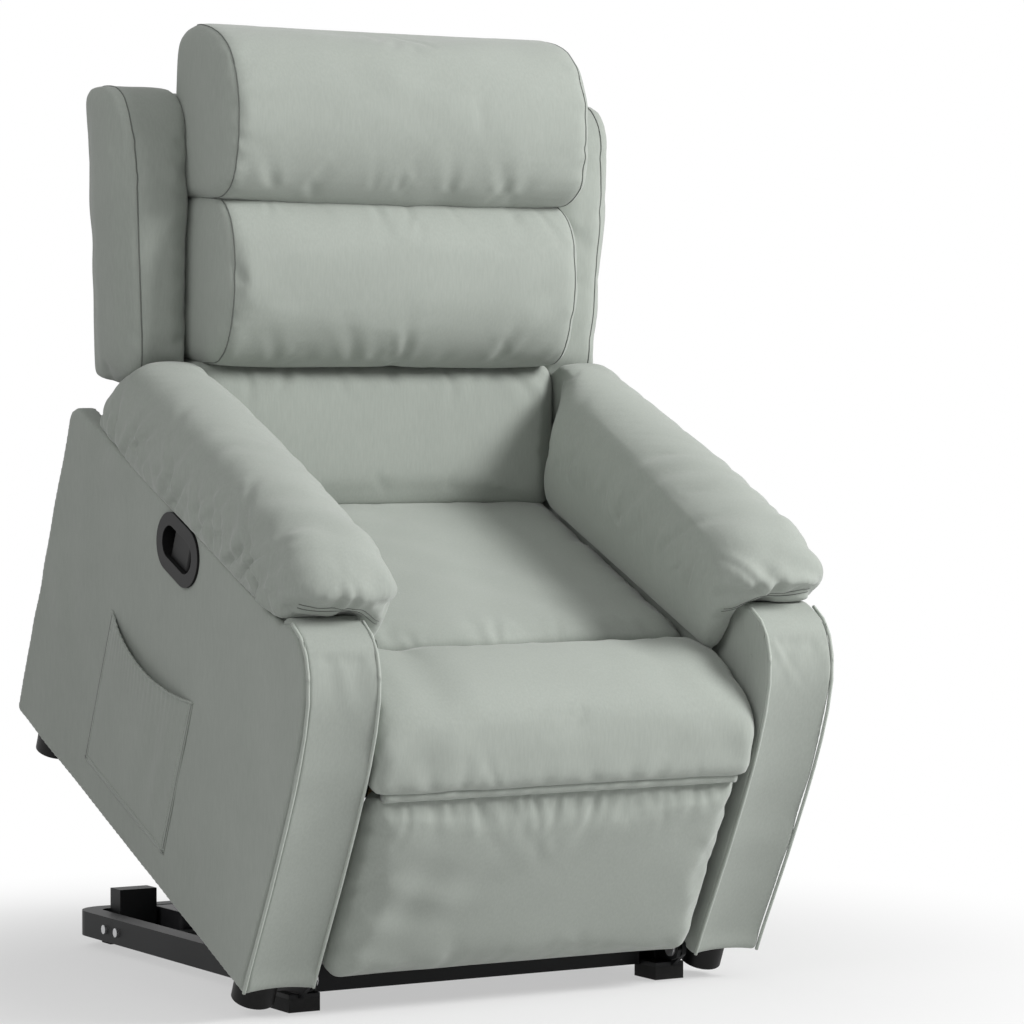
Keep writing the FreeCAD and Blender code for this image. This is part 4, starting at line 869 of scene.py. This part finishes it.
def panel_sheet(name, side, x_face, x_back, front, rear, low, top):
    """One panel as a soft slab that runs forward to the arm band's piping."""
    edge = 8 * MM
    profile = [(y + 6 * MM, z - 2 * MM) for y, z in front_profile()]
    profile[0] = (profile[0][0], low)
    corners = rounded_rectangle(front, rear, low, top, (3 * MM, 3 * MM, 26 * MM, 6 * MM), 260)
    behind = corners[corners[:, 0] > front + 60 * MM]
    upper = behind[behind[:, 1] > (low + top) / 2]
    lower = behind[behind[:, 1] <= (low + top) / 2]
    tail = np.vstack([upper[np.argsort(upper[:, 0] - upper[:, 1])],
                      lower[np.argsort(-lower[:, 0] - lower[:, 1])]])
    loop = spaced(np.vstack([np.array(profile), tail]), 280, True)
    normal = outward(loop)
    rings = []
    for a in np.linspace(0, math.pi / 2, 6):
        inset = edge * (1 - math.sin(a)) * 0.3
        rings.append(across_at(x_back + side * 1.5 * MM * math.sin(a), loop - normal * inset))
    for a in np.linspace(0, math.pi / 2, 9):
        inset = edge * (1 - math.cos(a)) * 0.6
        rings.append(across_at(x_face - side * edge * (1 - math.sin(a)), loop - normal * inset))
    piece = skin("side_cover_" + name, rings, chair)
    settle(piece)
    evened(piece, PANEL_VOXEL)

    def relief(x, y, z):
        face = smoothstep(edge, 0, np.abs(x - x_face))
        return face * (1.6 * MM * ripple(y + 0.3 * z, 0.27, 1.0 + side) * ripple(z - 0.2 * y, 0.22, 3.1)
                       + 0.5 * MM)

    worked(piece, chair, relief)
    smooth_shaded(piece.data)
    if side < 0:
        open_oval(piece, x_face)
    soft(piece, "chair", "side_panel_" + name)


def rounded_rectangle(y0, y1, z0, z1, radii, count):
    """Closed loop; radii for the corners (y0,z0), (y1,z0), (y1,z1), (y0,z1)."""
    corners = [((y0, z0), math.pi), ((y1, z0), 1.5 * math.pi), ((y1, z1), 0), ((y0, z1), 0.5 * math.pi)]
    path = []
    for ((y, z), start), radius in zip(corners, radii):
        cy = y + radius if y == y0 else y - radius
        cz = z + radius if z == z0 else z - radius
        for a in np.linspace(start, start + math.pi / 2, 9):
            path.append((cy + radius * math.cos(a), cz + radius * math.sin(a)))
    return spaced(np.array(path), count, True)


def inner_boards():
    """Flat covered boards on the seat's side of each arm."""
    for name, _ in SIDES:
        lo, hi = span("arm_inner_" + name, chair)
        front, rear, low, top = lo[1], hi[1], lo[2], hi[2]
        outline = [(front, low), (front + 0.2, low), (rear - 0.2, low), (rear, low), (rear, low + 0.2),
                   (rear, top - 0.1), (rear - 4 * MM, top), (rear - 0.2, top), (front + 0.2, top),
                   (front + 2 * MM, top), (front, top - 0.1), (front, low + 0.2)]
        piece = pillow("inner_cover_" + name, outline, lo[0], hi[0], chair, edge=4 * MM, bulge=0.5 * MM,
                       columns=8)
        soft(piece, "chair", "arm_inner_" + name)


def pocket():
    """Elasticated pouch: sewn down at its sides and foot, its top edge gathers, sags and stands open."""
    lo, hi = span("storage_pocket", chair)
    across, upward = 96, 72
    face = hi[0]
    wide, tall = hi[1] - lo[1], hi[2] - lo[2]
    verts, faces = [], []
    for i in range(upward + 1):
        v = i / upward
        for j in range(across + 1):
            u = j / across
            sag = 20 * MM * math.sin(math.pi * u) ** 0.9 * v ** 3
            y = lo[1] + u * wide
            z = lo[2] + v * tall - sag
            edge = min(u, 1 - u) * wide
            rise = 1 - math.exp(-(edge / 0.02) ** 1.2)
            belly = 1.2 + 11.0 * v ** 2.6 * math.sin(math.pi * u) ** 0.6 + 1.5 * math.sin(math.pi * v)
            gather = 0.8 * MM * v ** 4 * math.sin(2 * math.pi * u * 24 + 2 * math.sin(9 * u)) * rise
            slack = 1.4 * MM * math.sin(math.pi * v) * math.sin(19 * u + 5 * math.sin(4 * u) + 2 * v) * rise
            verts.append((face - belly * MM * rise - gather - slack - 1.0 * MM, y, z))
    for i in range(upward):
        for j in range(across):
            a = i * (across + 1) + j
            faces.append((a, a + 1, a + across + 2, a + across + 1))
    piece = solid_object("pocket_pouch", verts, faces, chair, UPHOLSTERY)
    shell = piece.modifiers.new("cloth", "SOLIDIFY")
    shell.thickness = 1.4 * MM
    shell.offset = 0
    trim(piece, "chair")
    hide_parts("storage_pocket")
    rows = np.array(verts).reshape(upward + 1, across + 1, 3)
    hem = rows[-1] + np.array([-0.4 * MM, 0, 0])
    trim(tube_along("pocket_hem", hem, 2.0 * MM, chair, UPHOLSTERY), "chair")
    # Dark cords on the sewn sides and foot: painted shade along the folds; the stitch rows are in the
    # lighter thread cloth: painted highlight.
    sewn_edges = (("front", rows[:, 1], (0, 5 * MM, 0)), ("rear", rows[:, -2], (0, -5 * MM, 0)),
                  ("foot", rows[1], (0, 0, 5 * MM)))
    for label, line, inward in sewn_edges:
        piped = line * np.array([0, 1, 1]) + np.array([face - 0.8 * MM, 0, 0])
        trim(tube_along("pocket_fold_" + label, spaced(piped, 60, False), 1.5 * MM, chair, SEAM_SHADE), "chair")
        row_line = line + np.array(inward) + np.array([-1.6 * MM, 0, 0])
        trim(stitches("pocket_stitch_" + label, row_line, 5.5 * MM, chair), "chair")


# ---------------------------------------------------------------- seat and legrest

def seat():
    """Flat seat cushion sewn to a crowned front roll that hangs over the legrest's top edge."""
    lo, hi = span("seat_cushion", chair)
    front, rear, low, top = lo[1], hi[1], lo[2], hi[2]
    half = hi[0] + 3 * MM
    outline = [(rear, low + 0.01), (rear, top - 0.03), (rear - 0.012, top - 4 * MM),
               (rear - 0.06, top + 1 * MM), (rear - 0.2, top + 2 * MM), (front + 0.14, top + 1 * MM),
               (front + 0.05, top - 1 * MM), (front + 0.014, top - 4 * MM),
               (front - 1 * MM, top - 12 * MM), (front - 2 * MM, low + 0.02), (front + 4 * MM, low),
               (front + 0.2, low), (rear - 0.2, low), (rear - 4 * MM, low)]
    piece = pillow("seat_top", outline, -half, half, chair, edge=14 * MM, bulge=2 * MM, count=150)
    stuffed(piece, chair, 7 * MM, lambda at: smoothstep(low + 0.05, top - 0.02, at[:, 2]))

    def relief(x, y, z):
        above = smoothstep(top - 0.035, top - 0.012, z)
        return above * (folds(x, y - front, -half, half, 9, 81, 0.045, 7 * MM, 2.2 * MM)
                        + folds(y, half - np.abs(x), front, rear, 7, 82, 0.05, 9 * MM, 2.4 * MM)
                        + 2.2 * MM * ripple(x + 0.5 * y, 0.27, 2.2) * ripple(y, 0.21, 3.3))

    worked(piece, chair, relief)
    soft(piece, "chair", "seat_cushion")

    lo, hi = span("seat_front_roll", chair)
    front, rear, crest = lo[1], hi[1], hi[2]
    base = span("seat_side_rails", chair)[1][2] + 1 * MM
    roll_low = span("legrest_hinges", chair)[1][2] - 3 * MM
    outline = [(rear + 2 * MM, base + 0.02), (rear + 2 * MM, crest - 0.035),
               (rear - 3 * MM, crest - 0.016), (rear - 0.018, crest - 4 * MM),
               (rear - 0.055, crest + 2 * MM), (rear - 0.105, crest - 1 * MM),
               (front + 0.052, crest - 0.02), (front + 0.018, crest - 0.048),
               (front + 0.001, crest - 0.08), (front - 1 * MM, roll_low + 0.018),
               (front + 8 * MM, roll_low), (front + 0.026, roll_low - 1 * MM),
               (front + 0.04, roll_low + 4 * MM), (rear - 0.16, roll_low + 5 * MM),
               (rear - 0.135, roll_low + 1 * MM), (rear - 0.12, base), (rear - 0.03, base)]
    piece = pillow("seat_roll", outline, -half, half, chair, edge=20 * MM, bulge=2 * MM, count=150)
    stuffed(piece, chair, 8 * MM, lambda at: smoothstep(roll_low + 4 * MM, roll_low + 0.04, at[:, 2])
            * smoothstep(rear + 2 * MM, rear - 0.03, at[:, 1]))

    def roll_relief(x, y, z):
        ahead = smoothstep(rear - 2 * MM, rear - 0.02, y)
        crown = folds(x, rear - y, -half, half, 11, 85, 0.045, 7 * MM, 2.4 * MM)
        foot = folds(x, z - roll_low, -half, half, 10, 86, 0.045, 7 * MM, 2.4 * MM)
        ends = folds(y - z, half - np.abs(x), front - crest, rear - roll_low, 9, 87, 0.05, 9 * MM, 1.3 * MM)
        return ahead * (crown * (z > crest - 0.05) + foot * (y < front + 0.05) + ends
                        + 2.0 * MM * ripple(x + 0.3 * z, 0.21, 1.2) * ripple(z, 0.16, 2.3))

    worked(piece, chair, roll_relief)
    soft(piece, "chair", "seat_front_roll")


def legrest():
    """Upholstered legrest: gathered under the roll's crease, full in the middle, rounded at its foot."""
    lo, hi = span("legrest_pad", chair)
    front, low, top = lo[1], lo[2], hi[2]
    lid = top + 6 * MM
    tall, lean = lid - low, 17 * MM
    half = hi[0] + 3 * MM

    def face(share):
        return front + lean * (1 - share)

    marks = [(0.015, 12), (0.05, 4), (0.2, 0), (0.4, -1), (0.6, -1), (0.8, 0), (0.92, 2), (0.985, 6)]
    thick = 40 * MM
    outline = [(face(share) + bulge * MM, low + share * tall) for share, bulge in marks]
    outline += [(face(1) + 12 * MM, lid), (face(1) + 24 * MM, lid - 3 * MM),
                (face(0.95) + thick, lid - 10 * MM), (face(0.6) + thick, low + 0.6 * tall),
                (face(0.3) + thick, low + 0.3 * tall), (face(0.04) + thick, low + 5 * MM),
                (face(0) + 30 * MM, low), (face(0) + 18 * MM, low)]
    piece = pillow("legrest_cover", outline, -half, half, chair, edge=20 * MM, bulge=1 * MM, count=150,
                   columns=70)
    behind = face(0.5) + thick
    stuffed(piece, chair, 9 * MM, lambda at: smoothstep(behind - 4 * MM, behind - 26 * MM, at[:, 1])
            * smoothstep(lid, lid - 0.03, at[:, 2]))
    round_foot(piece, chair, low, half, 34 * MM)

    def relief(x, y, z):
        ahead = smoothstep(behind - 6 * MM, behind - 22 * MM, y)
        below, edge = lid - z, half - np.abs(x)
        return ahead * (folds(x, below, -half, half, 26, 91, 0.038, 4.5 * MM, 2.6 * MM, 0.25)
                        + folds(x, below, -half * 0.5, half * 0.5, 7, 92, 0.07, 7 * MM, 2.4 * MM, 0.3)
                        + folds(z, edge, low, lid, 13, 93, 0.05, 8 * MM, 1.8 * MM, 0.9)
                        + folds(x, z - low, -half, half, 8, 94, 0.05, 9 * MM, 1.8 * MM)
                        + 2.2 * MM * ripple(x + 0.8 * z, 0.25, 7.3) * ripple(z - 0.4 * x, 0.19, 2.8))

    worked(piece, chair, relief)
    soft(piece, "legrest", "legrest_pad")
    axis = chair.inverted() @ Vector(joints["legrest_swing"]["pos_m"])
    across = np.linspace(-half + 16 * MM, half - 16 * MM, 90)
    path = np.column_stack([across, axis[1] - 1 * MM + 0.8 * MM * ripple(across, 0.05, 3.0),
                            np.full(90, axis[2])])
    trim(tube_along("crease_fold", path, 8.5 * MM, chair, UPHOLSTERY, sides=20), "chair")


def round_foot(piece, matrix, low, half, radius):
    """Pulls a panel's two lower corners up into a round."""
    places, _ = local_shape(piece, matrix)
    out = np.clip((np.abs(places[:, 0]) - (half - radius)) / radius, 0, 1)
    rise = radius * (1 - np.sqrt(1 - np.minimum(out, 0.999) ** 2))
    share = np.clip(1 - (places[:, 2] - low) / (3.2 * radius), 0, 1)
    places[:, 2] += rise * share ** 1.2
    put_back(piece, matrix, places)


def rear_board():
    """Upholstered board across the back of the arm boxes."""
    lo, hi = span("rear_panel", chair)
    front, rear, low, top = lo[1], hi[1], lo[2], hi[2]
    middle = (low + top) / 2
    outline = [(rear, low + 0.01), (rear + 0.5 * MM, middle), (rear, top - 0.01), (rear - 4 * MM, top),
               (front + 4 * MM, top), (front, top - 0.02), (front, middle), (front, low + 0.02),
               (front + 4 * MM, low), (rear - 4 * MM, low)]
    piece = pillow("rear_cover", outline, lo[0], hi[0], chair, edge=5 * MM, bulge=0.5 * MM, columns=150)
    settle(piece)

    def relief(x, y, z):
        behind = smoothstep(rear - 8 * MM, rear - 2 * MM, y)
        return behind * (1.6 * MM * ripple(x, 0.25, 3.3) * ripple(z, 0.2, 1.3)
                         + groove(np.abs(x), 2.6 * MM, 2.2 * MM)
                         + folds(x, top - z, lo[0], hi[0], 9, 96, 0.05, 8 * MM, 1.6 * MM))

    worked(piece, chair, relief)
    soft(piece, "chair", "rear_panel")


# ---------------------------------------------------------------- hardware that keeps its CAD shape

def dress_hardware():
    """Gives every CAD node its slot's material, through the material slots of its object."""
    slots = {entry["node"]: entry["material_slot"] for entry in frame["record"]["subparts"]}
    for name, item in frame["nodes"].items():
        for holder in item.material_slots:
            holder.link = "OBJECT"
            holder.material = MATERIALS[slots[name]]


# ---------------------------------------------------------------- studio

def seen_rays(owner):
    """Output that is 1 on camera, glossy and transmission rays of a material or world."""
    rays = node(owner, "ShaderNodeLightPath")
    seen = rays.outputs["Is Camera Ray"]
    for kind in ("Is Glossy Ray", "Is Transmission Ray"):
        either = node(owner, "ShaderNodeMath", operation="MAXIMUM")
        link(owner, seen, either.inputs[0])
        link(owner, rays.outputs[kind], either.inputs[1])
        seen = either.outputs[0]
    return seen


def choose(owner, share, first, second, output):
    """Sends a mix of two shader nodes, by a share from 0 to 1, to the output node."""
    chosen = node(owner, "ShaderNodeMixShader")
    link(owner, share, chosen.inputs["Fac"])
    link(owner, first.outputs[0], chosen.inputs[1])
    link(owner, second.outputs[0], chosen.inputs[2])
    link(owner, chosen.outputs[0], owner.node_tree.nodes[output].inputs["Surface"])


def surroundings():
    """Soft white light all round, under a background that is seen as pure white."""
    world = bpy.data.worlds.new("studio")
    bpy.context.scene.world = world
    world.use_nodes = True
    ambient = world.node_tree.nodes["Background"]
    ambient.inputs["Color"].default_value = (1, 1, 1, 1)
    ambient.inputs["Strength"].default_value = AMBIENT
    choose(world, seen_rays(world), ambient, node(world, "ShaderNodeBackground", Color=(1, 1, 1, 1)),
           "World Output")


def pale_floor():
    """A floor that takes shadows near the chair and fades to pure white further out."""
    mesh = bpy.data.meshes.new("floor")
    corners = ((-1, -1), (1, -1), (1, 1), (-1, 1))
    mesh.from_pydata([(x * FLOOR_REACH, y * FLOOR_REACH, 0) for x, y in corners], [], [(0, 1, 2, 3)])
    floor = bpy.data.objects.new("floor", mesh)
    bpy.context.scene.collection.objects.link(floor)
    white = new_material("pale_floor", (0.70, 0.70, 0.70), 0.9, Specular_IOR_Level=0.1)
    place = node(white, "ShaderNodeTexCoord")
    away = node(white, "ShaderNodeVectorMath", operation="LENGTH")
    fade = node(white, "ShaderNodeMapRange", interpolation_type="SMOOTHSTEP", **FLOOR_GLOW)
    share = node(white, "ShaderNodeMath", operation="MULTIPLY")
    link(white, place.outputs["Object"], away.inputs[0])
    link(white, away.outputs["Value"], fade.inputs["Value"])
    link(white, fade.outputs["Result"], share.inputs[0])
    link(white, seen_rays(white), share.inputs[1])
    choose(white, share.outputs[0], white.node_tree.nodes["Principled BSDF"],
           node(white, "ShaderNodeEmission"), "Material Output")
    mesh.materials.append(white)


def placed(name, data, place, forward):
    """A lamp or camera at a place, facing along a direction."""
    item = bpy.data.objects.new(name, data)
    item.location = place
    item.rotation_euler = forward.to_track_quat("-Z", "Y").to_euler()
    bpy.context.scene.collection.objects.link(item)
    return item


def studio():
    """White surroundings, a pale floor, three large soft lamps and the camera."""
    scene = bpy.context.scene
    scene.view_settings.view_transform = "Standard"
    surroundings()
    pale_floor()
    for name, place, size, power in LAMPS:
        light = bpy.data.lights.new(name, "AREA")
        light.size = size
        light.energy = power
        placed(name, light, place, Vector(LAMP_TARGET) - Vector(place))
    lens = bpy.data.cameras.new("camera")
    lens.sensor_width = CAMERA_SENSOR
    lens.lens = CAMERA_LENS
    lens.shift_x, lens.shift_y = CAMERA_SHIFT
    lens.clip_end = 60
    scene.camera = placed("camera", lens, CAMERA_PLACE, Vector(CAMERA_FORWARD))


back_cushions()
back_wings()
back_cover()
arm_pads()
arm_fronts()
side_panels()
inner_boards()
pocket()
seat()
legrest()
rear_board()
dress_hardware()
studio()
